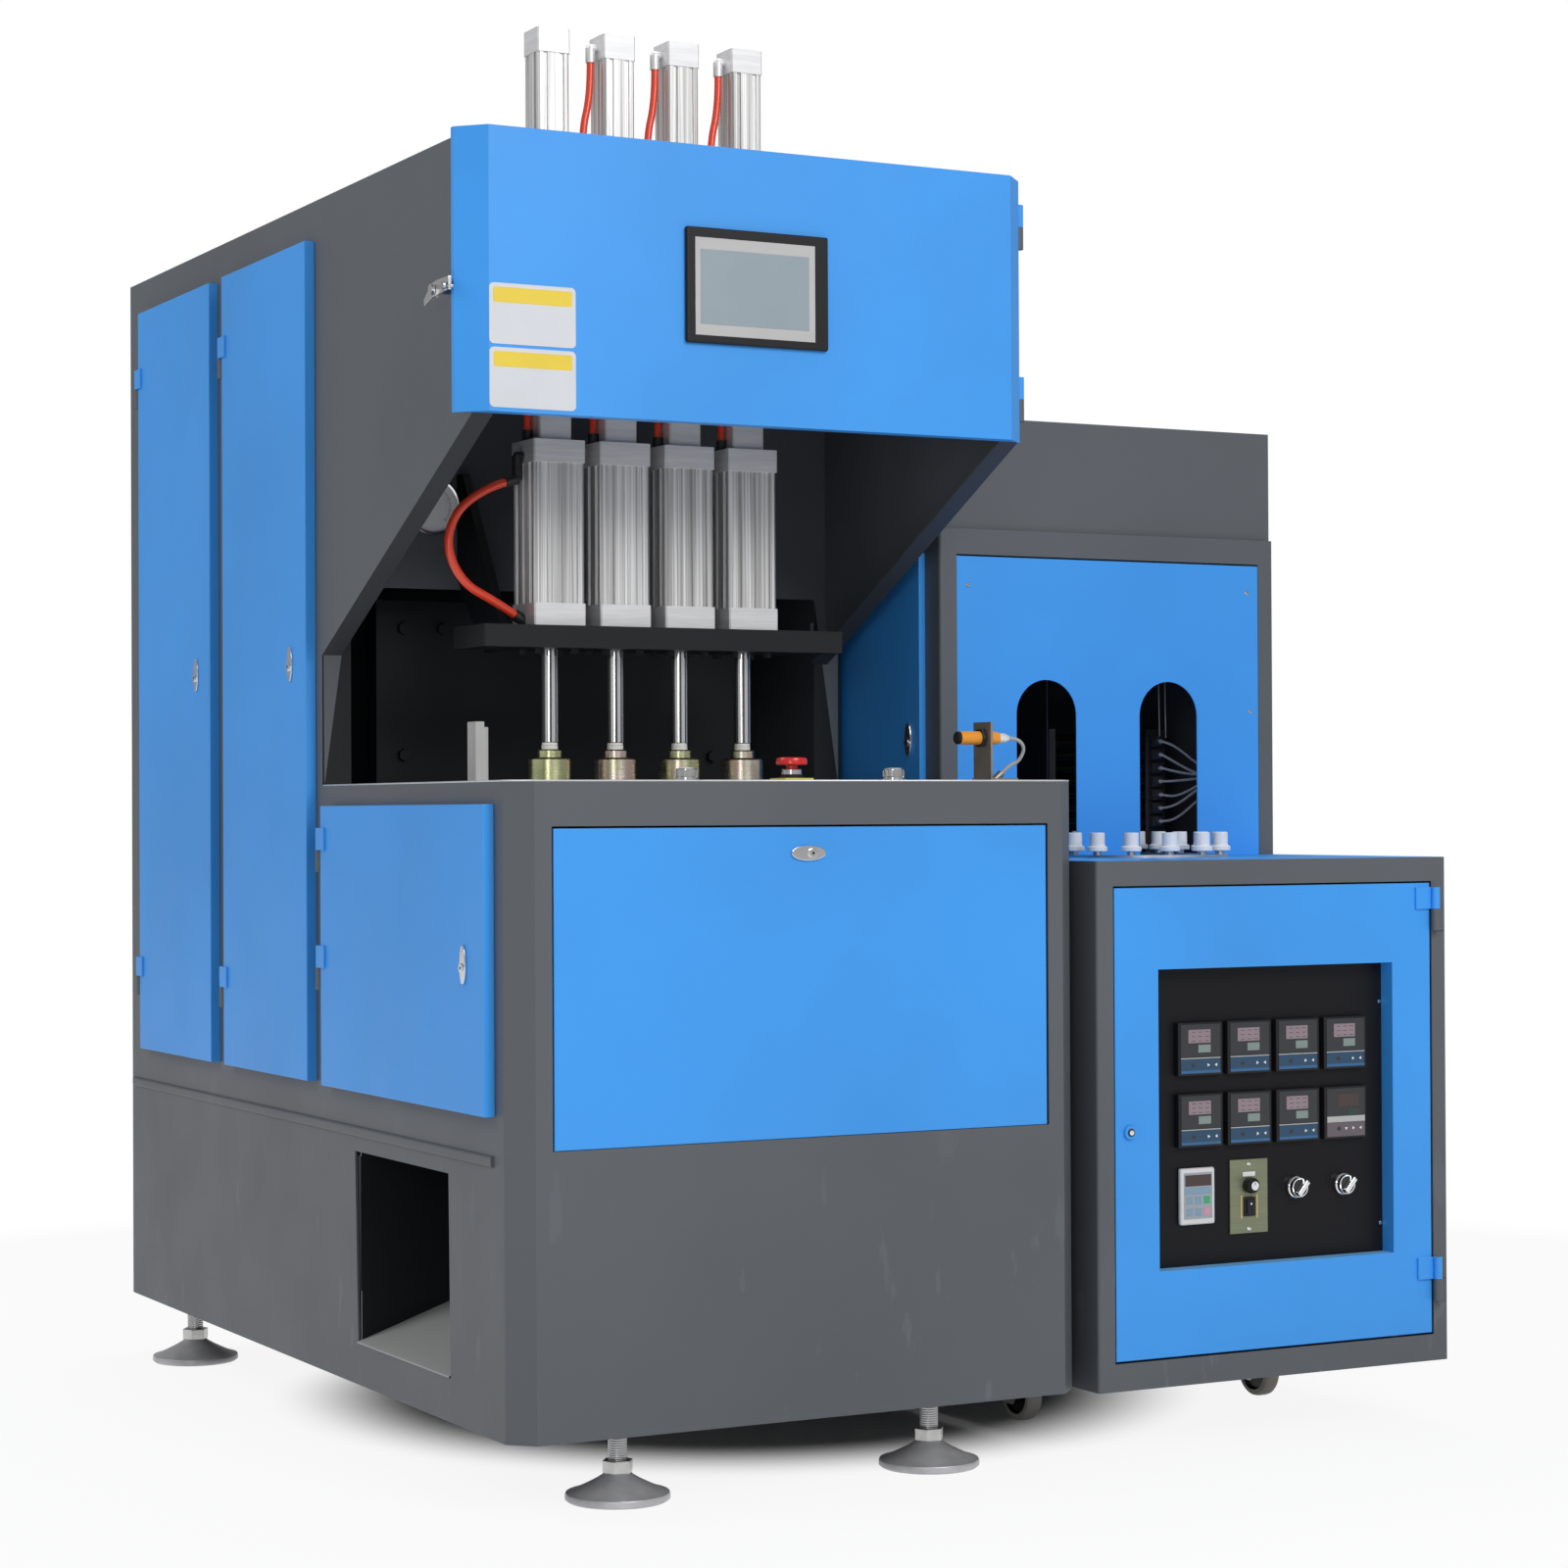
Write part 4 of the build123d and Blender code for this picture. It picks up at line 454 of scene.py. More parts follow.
# The rear cabinet's front faces in the working area, below its top, are black: painted shade on the grey wall
dress("rear_cabinet", greyCoat, bevels["sheet"], [
    (blackCoatAndShade, lambda spot, normal: normal.y < -square and within(spot.y, shadedBay["y"]) and spot.z < shadedBay["top"]),
])
for name in ("rear_door", "middle_door", "low_door", "oven_side_door"):
    dress(name, blueCoat)
dress("hood_cover", blueCoat, bevels["sheet"], [(pinSteel, lambda spot, normal: spot.x < hood["keeper"])])
# Upward faces of these blue panels get the lighter blue: a painted highlight along their top edges
for name, bevel in (("front_panel", bevels["panel"]), ("heater_door", bevels["panel"]), ("oven_front", 0)):
    dress(name, blueCoat, bevel, [(highlightBlue, lambda spot, normal: normal.z > square)])
dress("heater_cabinet", greyCoat, bevels["sheet"], [
    (blueCoat, lambda spot, normal: spot.z > heaterTop and normal.z > square),
])
dress("table_plate", tableSteel, bevels["steel"], [
    (railAlloy, lambda spot, normal: spot.z > guide["above"] and within(spot.x, guide["x"])),
])
for name in ("cylinder_plate", "clamp_frame", "moving_platen"):
    dress(name, blackCoatAndShade, bevels["plate"])
# The chute's walls square to Y and its part behind the outlet are black: painted shade inside the outlet
dress("chute", chutePaint, bevels["small"], [
    (blackCoatAndShade, lambda spot, normal: abs(normal.y) > square or spot.y > outletBack),
])
inHeads = [(headAlloy, lambda spot, normal: any(within(spot.z, band) for band in headBands))]
dress("blow_cylinders", tubeAlloy, bevels["tube"], inHeads + [
    (darkSteel, lambda spot, normal: spot.x < fittings["left"] or within(spot.z, fittings["z"])),
])
dress("stretch_cylinders", tubeAlloy, bevels["small"], inHeads)
for name in ("clamp_cylinder", "front_mould", "rear_mould"):
    dress(name, mouldAlloy, bevels["plate"])
for name in ("stretch_rods", "clamp_rod"):
    dress(name, rodChrome, bevels["small"])
dress("hood_latch", trimChrome, bevels["steel"])
dress("sensor_bracket", bracketSteel, bevels["small"])
dress("control_panel", panelBlack, bevels["small"])
dress("oven_lamps", darkSteel, bevels["steel"], [
    (holderGrey, lambda spot, normal: within(spot.y, holders["y"]) and spot.x > holders["left"]),
])
for name in ("caster_fork_left", "caster_fork_right", "caster_mounts"):
    dress(name, zincSheet, bevels["steel"])
print("frame nodes dressed")

# Blow rods: polished, bored, with the piston inside the cylinder
rod = {"radius": 11.5, "bore": 6, "low": 952, "piston": 1140, "top": 1165, "pistonRadius": 31.4}
cup = {"bottom": 900, "cup": (28.5, 31), "neck": (16.5, 12), "ring": (11, 9), "mouth": (14, 10), "bevel": 1.8}
for number in range(1, 5):
    centre = middle(f"blow_rod_{number}")
    onFloor = Vector((centre.x, centre.y, 0))
    shaft = Form()
    shaft.turned([
        (rod["bore"], rod["low"]),
        (rod["radius"] - 1, rod["low"]),
        (rod["radius"], rod["low"] + 1.2),
        (rod["radius"], rod["piston"]),
        (rod["pistonRadius"], rod["piston"]),
        (rod["pistonRadius"], rod["top"]),
        (rod["bore"], rod["top"]),
    ], onFloor, upward, shaftChrome, 64, True)
    shaft.piece(f"polished_rod_{number}", f"blow_rod_{number}", [f"blow_rod_{number}"], "rod_chrome")
    wide, wideHeight = cup["cup"]
    neck, neckHeight = cup["neck"]
    ring, ringHeight = cup["ring"]
    mouth, mouthDepth = cup["mouth"]
    z0 = cup["bottom"]
    z1 = z0 + wideHeight
    z2 = z1 + neckHeight
    z3 = z2 + ringHeight
    edge = cup["bevel"]
    seal = Form()
    seal.turned([
        (rod["bore"], z0 + mouthDepth),
        (mouth, z0 + mouthDepth),
        (mouth, z0),
        (wide - edge, z0),
        (wide, z0 + edge),
        (wide, z1 - edge),
        (wide - edge, z1),
        (neck + 1, z1),
        (neck, z1 + 1),
        (neck, z2 - edge),
        (neck - edge, z2),
        (ring, z2),
        (rod["bore"], z2),
    ], onFloor, upward, zincCups[number - 1], 64, True)
    seal.turned([
        (rod["bore"], z2),
        (ring, z2),
        (ring, z3 - 4),
        (ring - 0.9, z3 - 3.6),
        (ring, z3 - 3),
        (ring - 0.6, z3),
        (rod["bore"], z3),
    ], onFloor, upward, nylon, 48, True)
    seal.piece(f"turned_nozzle_{number}", f"blow_rod_{number}", [f"blow_nozzle_{number}"], "cup_zinc")
print("rods and nozzles made")

# Levelling feet
foot = {"radius": 66, "rim": 10.5, "height": 34, "neck": 20, "nut": 20, "nutHeight": 16, "nutTurn": 0.4,
        "stem": 12, "stemLow": 48, "top": 124, "cone": [(45, 17.5), (30, 25)]}
footPlaces = [(180, 95), (630, 95), (60, 1400), (750, 1400)]
feet = Form()
for x, y in footPlaces:
    base = at(x, y, 0)
    wide = foot["radius"]
    rimHeight = foot["rim"]
    feet.turned([
        (0, 0),
        (wide - 3, 0),
        (wide, 2.5),
        (wide, rimHeight - 3),
        (wide - 1, rimHeight - 0.6),
        (wide - 4, rimHeight),
        (wide - 9, rimHeight + 1.5),
        *foot["cone"],
        (foot["neck"], foot["height"] - 3),
        (foot["neck"] - 3, foot["height"]),
        (0, foot["height"]),
    ], base, upward, footIron, 64)
    feet.prism(at(x, y, foot["height"]), foot["nut"], 6, foot["nutHeight"], upward, zincSheet, 1.2,
               foot["nutTurn"])
    feet.turned(sleeve(0, foot["stem"], foot["stemLow"], foot["top"]), base, upward, thread, 40)
feet.piece("turned_feet", "machine", ["levelling_feet"], "cast_base")

# Castor wheels: tyre, rim and hub
wheel = {"radius": 37.5, "half": 13}
wheelBodies = [f"{row}_wheel_{side}" for row in ("front", "rear") for side in ("left", "right")]
for body in wheelBodies:
    tyre = Form()
    half = wheel["half"]
    radius = wheel["radius"]
    tread = [
        (radius - 9, half - 1),
        (radius - 3, half - 1.5),
        (radius - 0.8, half - 4),
        (radius, half - 8),
    ]
    disc = [
        (5.2, half),
        (10, half),
        (11, half - 1),
        (13, half - 6),
        (radius - 12, half - 6),
        (radius - 9, half - 1.2),
    ]
    tyre.turned(mirrored(tread), middle(body), toRight, wheelGrey, 56, True)
    tyre.turned(mirrored(disc), middle(body), toRight, blackPlastic, 40, True)
    tyre.piece(f"{body}_tyre", body, [body], "wheel_rubber")
print("feet and wheels made")

# Edge strip of the table's plate round the cabinet's top, in a steel lighter than the plate: a painted
# highlight of the lit edge
table = 897
rimHighlightSteel = grainedMetal("rim_highlight_steel", (0.70, 0.71, 0.72), 0.4, (3, 3, 60), 0.08, 0.3, 0.5)
rim = {"proud": 0.4, "left": 0, "right": 810, "leg": 29, "back": 650, "height": 1.8}
rimLine = [
    (rim["left"] - rim["proud"], rim["back"]),
    (rim["left"] - rim["proud"], rim["leg"]),
    (rim["leg"], -rim["proud"]),
    (rim["right"] - rim["leg"], -rim["proud"]),
    (rim["right"] + rim["proud"], rim["leg"]),
    (rim["right"] + rim["proud"], rim["back"]),
]
edging = Form()
lowRim = [edging.mesh.verts.new(at(x, y, table - rim["height"])) for x, y in rimLine]
highRim = [edging.mesh.verts.new(at(x, y, table + 0.1)) for x, y in rimLine]
for index in range(len(rimLine) - 1):
    edging.mesh.faces.new((lowRim[index], lowRim[index + 1], highRim[index + 1], highRim[index]))
edging.fresh(set(), rimHighlightSteel)
strip = edging.piece("table_rim", "machine")
thick = strip.modifiers.new("thick", "SOLIDIFY")
thick.thickness = 0.0016
thick.offset = -1

# Controls on the table
control = {"y": 80, "stop": 423, "start": (273, 573), "plate": 21, "plateHeight": 3, "ribs": 9}
rib = {"place": 12.4, "radius": 1.9, "low": 5, "height": 8}
stopRing = [(7.2, 7), (12, 7), (12.8, 7.8), (12.8, 13.6), (12, 14.6), (7.2, 14.6)]
startRing = [(10.4, 4), (10.4, 15), (12.6, 15), (13.2, 14.4), (13.2, 5), (14, 4), (14, 0), (4.1, 0), (4.1, 4)]
stopOutline = [(0, -25), (7, -25), (7, 19), (9, 20), (18.8, 20), (20, 21.2), (20, 26), (19, 28.4), (16, 29.6),
               (0, 30)]
capOutline = [(0, -20), (4, -20), (4, 9), (10, 9), (10, 15.6), (9.4, 16.2), (0, 16.2)]
half = control["plate"]
collars = Form()
plate = at(control["stop"], control["y"], table)
plateTop = plate + Vector((half, half, control["plateHeight"])) * mm
collars.block(plate - Vector((half, half, 0)) * mm, plateTop, yellowPlate, 0.0008)
collars.turned(sleeve(7.2, 14.6, 3, 7), plate, upward, blackPlastic, 48, True)
collars.turned(stopRing, plate, upward, trimChrome, 48, True)
for x in control["start"]:
    place = at(x, control["y"], table)
    collars.turned(startRing, place, upward, trimChrome, 48, True)
    for step in range(control["ribs"]):  # gripping ribs
        turn = Matrix.Rotation(step * 2 * math.pi / control["ribs"], 4, "Z")
        spot = place + turn @ Vector((rib["place"] * mm, 0, rib["low"] * mm))
        collars.prism(spot, rib["radius"], 8, rib["height"], upward, trimChrome)
collars.piece("button_collars", "machine", ["control_collars"], "zinc_steel")
stop = Form()
stop.turned(stopOutline, plate, upward, redGloss, 56)
stop.piece("stop_mushroom", "stop_button", ["stop_button"], "red_plastic")
for side, x in zip(("left", "right"), control["start"]):
    cap = Form()
    cap.turned(capOutline, at(x, control["y"], table), upward, headAlloy, 40)
    cap.piece(f"start_cap_{side}", f"start_button_{side}", [f"start_button_{side}"], "zinc_steel")

# Proximity sensor: black face, orange barrel, nuts and steel tail
eye = {"y": 80, "z": 953, "left": 668, "right": 748, "nuts": (703, 711), "nut": 13.6, "nutWidth": 5}
eyeFace = [(0, 0), (7.4, 0), (8.4, 1), (8.4, 5), (0, 5)]
eyeEnd = [(0, 47), (9, 47), (9, 58), (8, 60), (8, 64), (0, 64)]
eyeTail = [(0, 63.5), (6.5, 63.5), (6.5, 74), (5.5, 76), (4, 80), (0, 80)]
sensor = Form()
base = at(eye["left"], eye["y"], eye["z"])
sensor.turned(eyeFace, base, toRight, blackPlastic, 48)
sensor.turned(sleeve(0, 9, 4.6, 47), base, toRight, orangePlastic, 48)
sensor.turned(eyeEnd, base, toRight, orangePlastic, 48)
sensor.turned(eyeTail, base, toRight, headAlloy, 40)
for x in eye["nuts"]:
    sensor.prism(at(x, eye["y"], eye["z"]), eye["nut"], 6, eye["nutWidth"], toRight, darkSteel, 0.8)
sensor.piece("sensor_barrel", "machine", ["sensor"], "orange_plastic")

# Pressure gauge: the scale runs from lower left over the top to lower right
gauge = {"x": 147, "y": 654, "z": 1282, "radius": 40, "depth": 38, "start": 225, "sweep": 270, "marks": 41,
         "scale": 27, "long": 5, "short": 2.6}
dial = Form()
back = at(gauge["x"], gauge["y"], gauge["z"])
wide = gauge["radius"]
bezel = [(0, 14), (wide - 2, 14), (wide, 16), (wide, 42), (wide - 1.5, 44), (wide - 4, 43), (wide - 5, 38),
         (0, 38)]
dial.turned(sleeve(0, 10, 0, 15), back, toFront, pinSteel, 32)
dial.turned(bezel, back, toFront, trimChrome, 64)
face = at(gauge["x"], gauge["y"] - gauge["depth"], gauge["z"])
dial.prism(face, wide - 5, 64, 0.6, toFront, dialWhite)
for step in range(gauge["marks"]):
    angle = math.radians(gauge["start"] - step * gauge["sweep"] / (gauge["marks"] - 1))
    long = gauge["long"] if step % 5 == 0 else gauge["short"]
    spot = face + Vector((math.cos(angle) * gauge["scale"], -1.0, math.sin(angle) * gauge["scale"])) * mm
    halfMark = Vector((long / 2, 0.15, 0.25)) * mm
    mark = dial.block(-halfMark, halfMark, blackPlastic)
    dial.move(mark, Matrix.Translation(spot) @ Matrix.Rotation(-angle, 4, "Y"))
needle = dial.block(Vector((-7, -0.3, -0.7)) * mm, Vector((24, 0.3, 0.7)) * mm, blackPlastic)
hub = face + Vector((0, -2.2, 0)) * mm
dial.move(needle, Matrix.Translation(hub) @ Matrix.Rotation(math.radians(-gauge["start"]), 4, "Y"))
dial.prism(face, 3, 24, 3.2, toFront, blackPlastic)
dial.piece("dial_gauge", "machine", ["pressure_gauge"], "gauge_case")
print("table controls, sensor and gauge made")

# Touch screen
screen = {"x": (276, 480), "z": (1450, 1597), "y": 86, "proud": 7, "back": 38, "wall": 12.5}
screenBorder = moulded("screen_border", (0.50, 0.50, 0.50), 0.4)
screenGlass = moulded("screen_glass", (0.30, 0.36, 0.40), 0.36)
x0, x1 = screen["x"]
z0, z1 = screen["z"]
y = screen["y"]
wall = screen["wall"]
front = y - screen["proud"]
display = Form()
display.block(at(x0, front, z0), at(x1, y, z1), blackPlastic, 0.003, 4)
display.block(at(x0 + wall, y - 1, z0 + wall), at(x1 - wall, y + screen["back"], z1 - wall), blackPlastic)
display.block(at(x0 + 12, front - 0.4, z0 + 10), at(x1 - 20, front + 1, z1 - 13), screenBorder, 0.0006)
display.block(at(x0 + 19, front - 0.8, z0 + 24), at(x1 - 29, front + 1, z1 - 28), screenGlass, 0.0003)
display.piece("operator_display", "hood", ["touch_screen"], "screen_plastic")

# Two blank plates on the hood, each with a yellow field near its top
sign = {"x": (9, 125), "y": (85.2, 86.1), "z": ((1433, 1508), (1355, 1429)), "corner": 0.006}
field = {"x": (14, 120), "y": (84.9, 85.6), "low": 24, "high": 5, "corner": 0.003}
plates = Form()
for low, high in sign["z"]:
    for part, bottom, top, colour in ((sign, low, high, labelWhite),
                                      (field, high - field["low"], high - field["high"], labelYellow)):
        corners = [at(part["x"][end], part["y"][end], (bottom, top)[end]) for end in (0, 1)]
        plates.rounded(*corners, colour, part["corner"])
plates.piece("blank_plates", "hood")


# Oval lock: a domed plate, a turning barrel and its keyway
def ovalLock(name, body, centre, facing, upright):
    lock = Form()
    squeeze = (1, 0.36, 1) if upright else (1, 0.40, 1)
    keySqueeze = (1, 0.35, 1) if upright else (0.35, 1, 1)
    offset = Vector((0, 0, -4 * mm)) if upright else Vector((5 * mm, 0, 0))
    barrel = centre + offset
    keyway = barrel + facing @ Vector((0, 0, 5.6 * mm))
    lock.prism(centre, 24.6, 64, 3.4, facing, trimChrome, 1.1, 0, squeeze)
    lock.prism(barrel, 6, 40, 5.8, facing, trimChrome, 0.5)
    lock.prism(keyway, 1.6, 16, 0.5, facing, blackPlastic)
    lock.prism(keyway, 2.9, 4, 0.4, facing, blackPlastic, 0, math.pi / 4, keySqueeze)
    lock.piece(name, body)


doorFace = -14.8
locks = {"rear_door": (1152, 1066), "middle_door": (738, 1066), "low_door": (116, 671)}
for body, (y, z) in locks.items():
    ovalLock(f"{body}_lock", body, at(doorFace, y, z), toLeft, True)
ovalLock("front_panel_lock", "front_panel", at(403, 0.7, 805), toFront, False)
ovalLock("oven_side_lock", "machine", at(823.9, 472, 960), toLeft, True)
print("screen, plates and locks made")


# Screw head with a cross slot
def screwHead(form, centre, facing, radius, material):
    outline = [(0, 0), (radius, 0), (radius, 0.6), (radius * 0.7, 1.5), (0, 1.8)]
    form.turned(outline, centre, facing, material, 20)
    spot = centre + facing @ Vector((0, 0, 1.5 * mm))
    for spin in (0, math.pi / 2):
        form.prism(spot, radius * 0.55, 4, 0.5, facing, blackPlastic, 0, spin, (1, 0.2, 1))


frontScrews = {"places": ((881, 1180), (1366, 1181), (1371, 1004)), "y": 400.5, "radius": 3.4}
screws = Form()
for x, z in frontScrews["places"]:
    screwHead(screws, at(x, frontScrews["y"], z), toFront, frontScrews["radius"], pinSteel)
screws.piece("oven_front_screws", "machine")

# Heating unit's panel
panelY = 25.5
meter = {"half": 36, "proud": 10, "columns": (1009, 1089.5, 1170, 1250.5), "rows": (536, 440), "body": 33,
         "depth": 55, "face": 32, "split": -13, "line": 0.0002}
digits = {"top": 26, "left": -20, "lastLeft": -14, "width": 36, "height": 18, "strokes": 9, "stroke": 6}
keys = {"drop": 22, "lift": 0.4, "places": (12, 25), "round": -12}
meterGrey = moulded("meter_grey", (0.028, 0.030, 0.034), 0.4)
meterBlue = moulded("meter_blue", (0.016, 0.062, 0.125), 0.38)
meterStripe = moulded("meter_stripe", (0.03, 0.13, 0.30), 0.4)
digitsRed = moulded("digits_red", (0.28, 0.215, 0.24), 0.3)
digitsGreen = moulded("digits_green", (0.22, 0.28, 0.26), 0.3)
digitsDark = moulded("digits_dark", (0.055, 0.035, 0.032), 0.3)
digitsDeep = moulded("digits_deep", (0.020, 0.045, 0.034), 0.3)
printWhite = moulded("print_white", (0.80, 0.80, 0.80), 0.4)
silverBand = moulded("silver_band", (0.46, 0.46, 0.46), 0.35)
mauveBand = moulded("mauve_band", (0.13, 0.105, 0.125), 0.4)
instruments = Form()


# A flat patch on the panel, given by its place on one instrument's front
def patch(centreX, centreZ, x0, x1, z0, z1, y, thick, material, bevel=0.0):
    low = at(centreX + x0, y - thick, centreZ + z0)
    high = at(centreX + x1, y + 0.3, centreZ + z1)
    instruments.block(low, high, material, bevel)


# A block on the panel, centred on one instrument
def slab(x, z, halfX, halfZ, front, back, material, bevel, segments=2):
    low = at(x - halfX, front, z - halfZ)
    high = at(x + halfX, back, z + halfZ)
    instruments.block(low, high, material, bevel, segments)


def arrow(x, z, y, turn):
    instruments.prism(at(x, y, z), 2.6, 3, 0.5, toFront, printWhite, 0, turn)


front = panelY - meter["proud"]
half = meter["half"]
body = meter["body"]
face = meter["face"]
split = meter["split"]
line = meter["line"]
for row, z in enumerate(meter["rows"]):
    for column, x in enumerate(meter["columns"]):
        last = row == 1 and column == 3  # another type of meter
        slab(x, z, half, half, front, panelY, blackPlastic, 0.0016, 3)
        slab(x, z, body, body, panelY - 1, panelY + meter["depth"], blackPlastic, 0.001)
        patch(x, z, -face, face, -11, 33, front, 0.5, meterGrey, line)
        patch(x, z, -face, face, -33, split, front, 0.5, mauveBand if last else meterBlue, line)
        patch(x, z, -face, face, split, -5 if last else -11.8, front, 0.8, silverBand)
        if not last:
            patch(x, z, -face, face, -32.5, -29, front, 0.7, meterStripe)
        top = digits["top"]
        left = digits["lastLeft" if last else "left"]
        right = left + digits["width"]
        upper = digitsDark if last else digitsRed
        lower = digitsDeep if last else digitsGreen
        patch(x, z, left, right, top - digits["height"], top, front, 0.8, upper, line)
        patch(x, z, left + 16, right, top - 31, top - 20.5, front, 0.8, lower, line)
        for stroke in range(0 if last else digits["strokes"]):  # faint segments of the unlit digits
            strokeX = left + 5 + stroke % 3 * 11
            strokeZ = top - 3 - stroke // 3 * 6
            strokeEnd = strokeX + digits["stroke"]
            patch(x, z, strokeX, strokeEnd, strokeZ - 0.7, strokeZ, front, 0.9, meterGrey)
        keyY = front - keys["lift"]
        keyZ = z - keys["drop"]
        down, up = keys["places"]
        arrow(x + down, keyZ, keyY, math.pi * 1.5)
        arrow(x + up, keyZ, keyY, math.pi / 2)
        if last:
            arrow(x, keyZ, keyY, math.pi)
        instruments.prism(at(x + keys["round"], keyY, keyZ), 3, 16, 0.4, toFront, meterGrey)

# Keypad of the drive
pad = {"x": 1005, "z": 338, "half": (28, 38), "proud": 8, "key": 10, "left": -19, "top": -10,
       "pitch": (14, 16)}
padWhite = moulded("pad_white", (0.70, 0.70, 0.70), 0.45)
padGrey = moulded("pad_grey", (0.34, 0.38, 0.42), 0.45)
padBlue = moulded("pad_blue", (0.22, 0.34, 0.46), 0.45)
padGreen = moulded("pad_green", (0.05, 0.38, 0.16), 0.45)
padPink = moulded("pad_pink", (0.62, 0.30, 0.40), 0.45)
padX = pad["x"]
padZ = pad["z"]
padY = panelY - pad["proud"]
wide, high = pad["half"]
slab(padX, padZ, wide, high, padY, panelY, padWhite, 0.003, 3)
patch(padX, padZ, 5 - wide, wide - 5, 8 - high, high - 6, padY, 0.5, padGrey, line)
patch(padX, padZ, 7 - wide, wide - 7, 14, 29, padY, 1.0, digitsDark, line)
patch(padX, padZ, 7 - wide, wide - 7, 3, 12, padY, 1.0, padBlue, line)
for row in range(2):
    for column in range(3):
        tone = {(0, 2): padGreen, (1, 2): padPink}.get((row, column), padBlue)
        x0 = pad["left"] + column * pad["pitch"][0]
        z0 = pad["top"] - row * pad["pitch"][1]
        patch(padX, padZ, x0, x0 + pad["key"], z0, z0 + pad["key"], padY, 1.2, tone, 0.0006)

# Speed controller: olive plate, screws, rocker in a gilt frame
speed = {"x": 1092, "z": 333, "half": (31, 50), "proud": 3, "knobZ": 348, "gilt": 13, "rockerZ": 319}
olive = grainedMetal("olive_plate", (0.25, 0.27, 0.18), 0.5, (4, 4, 60), 0.10, 0.4)
gilt = smoothMetal("gilt_frame", (0.66, 0.50, 0.22), 0.3)
speedX = speed["x"]
speedZ = speed["z"]
speedY = panelY - speed["proud"]
wide, high = speed["half"]
rockerZ = speed["rockerZ"]
knobZ = speed["knobZ"]
slab(speedX, speedZ, wide, high, speedY, panelY, olive, 0.0005)
for side in (-1, 1):
    screwHead(instruments, at(speedX, speedY, speedZ + side * (high - 6)), toFront, 3.2, trimChrome)
    strip = side * speed["gilt"]
    patch(speedX, speedZ, strip - 1, strip + 1, -30, 2, speedY, 0.6, gilt)
patch(speedX, speedZ, -10, 10, 27, 33, speedY, 0.5, printWhite)
slab(speedX, rockerZ, 9, 13, speedY - 3, speedY, blackPlastic, 0.001)
slab(speedX, rockerZ, 6, 10, speedY - 5, speedY - 2, blackPlastic, 0.0008)
instruments.prism(at(speedX, speedY - 5.2, rockerZ + 4), 1.4, 16, 0.5, toFront, printWhite)
instruments.turned(sleeve(3.2, 11, 0, 26), at(speedX, panelY, knobZ), toBack, blackPlastic, 32, True)
selectors = ((1170, 341), (1250, 341))
selectorRing = [(6.2, 0), (14.2, 0), (15, 1), (15, 6.5), (13.5, 8), (6.2, 8)]
for x, z in selectors:
    instruments.turned(selectorRing, at(x, panelY, z), toFront, trimChrome, 48, True)
    instruments.turned(sleeve(6.2, 11, 0, 34), at(x, panelY, z), toBack, blackPlastic, 32, True)
instruments.piece("instrument_set", "heater_door", ["panel_instruments"], "meter_plastic")

knobOutline = [(0, 0), (10.5, 0), (10.5, 9), (9.6, 11), (7.5, 11.6), (7.5, 14), (0, 14)]
knobRibs = 18
knob = Form()
knobBase = at(speedX, panelY - 3.5, knobZ)
knob.turned(knobOutline, knobBase, toFront, blackPlastic, 40)
knob.turned(sleeve(0, 6, 13.6, 14.3), knobBase, toFront, headAlloy, 32)
for step in range(knobRibs):
    turn = Matrix.Rotation(step * 2 * math.pi / knobRibs, 4, "Y")
    spot = knobBase + turn @ Vector((10.2 * mm, -1 * mm, 0))
    knob.prism(spot, 0.8, 6, 8, toFront, blackPlastic)
knob.prism(knobBase, 3, 24, 15, toBack, pinSteel)
knob.prism(at(speedX, panelY - 17.8, knobZ + 3), 1, 4, 0.4, toFront, blackPlastic, 0, 0, (0.6, 3, 1))
knob.piece("speed_knob_cap", "speed_knob", ["speed_knob"], "meter_plastic")
handleOutline = [(0, 0), (13, 0), (13, 4), (12, 5), (0, 5)]
handleTurn = Matrix.Rotation(math.radians(40), 4, "Y")
for side, (x, z) in zip(("left", "right"), selectors):
    handle = Form()
    base = at(x, panelY - 8.5, z)
    handle.turned(handleOutline, base, toFront, blackPlastic, 48)
    handle.turned(sleeve(11.6, 13, 4.4, 5.2), base, toFront, trimChrome, 48, True)
    handle.prism(base, 6, 24, 24, toBack, pinSteel)
    grip = handle.block(Vector((-4, -15, -12.6)) * mm, Vector((4, -4, 12.6)) * mm, trimChrome, 0.0022, 3)
    handle.move(grip, Matrix.Translation(base) @ handleTurn)
    handle.piece(f"selector_handle_{side}", f"selector_{side}", [f"selector_{side}"], "zinc_steel")
panelScrews = Form()
for z in (590, 283):
    for x in (1316, 935):
        panelScrews.prism(at(x, panelY, z), 2.6, 20, 1.4, toFront, trimChrome, 0.5)
panelScrews.piece("panel_screws", "heater_door")
keyPlace = at(884, 0.6, 431)
keyRings = (
    ([(0, 0), (9.4, 0), (9.4, 3.6), (8.6, 4.3), (0, 4.4)], blueCoat, 40),
    ([(0, 4), (5.4, 4), (5.4, 5.2), (4.6, 5.6), (0, 5.6)], darkSteel, 32),
    ([(0, 5), (3.6, 5), (3.4, 6.2), (0, 6.4)], trimChrome, 32),
)
keyLock = Form()
for outline, material, steps in keyRings:
    keyLock.turned(outline, keyPlace, toFront, material, steps)
keyLock.piece("heater_key_lock", "heater_door")
print("panel made")

# Chain of mandrels on the heating unit's table
chain = {"centre": 1118, "radius": 106, "front": 300, "rear": 1380, "count": 52, "shift": 0.35, "table": 790}


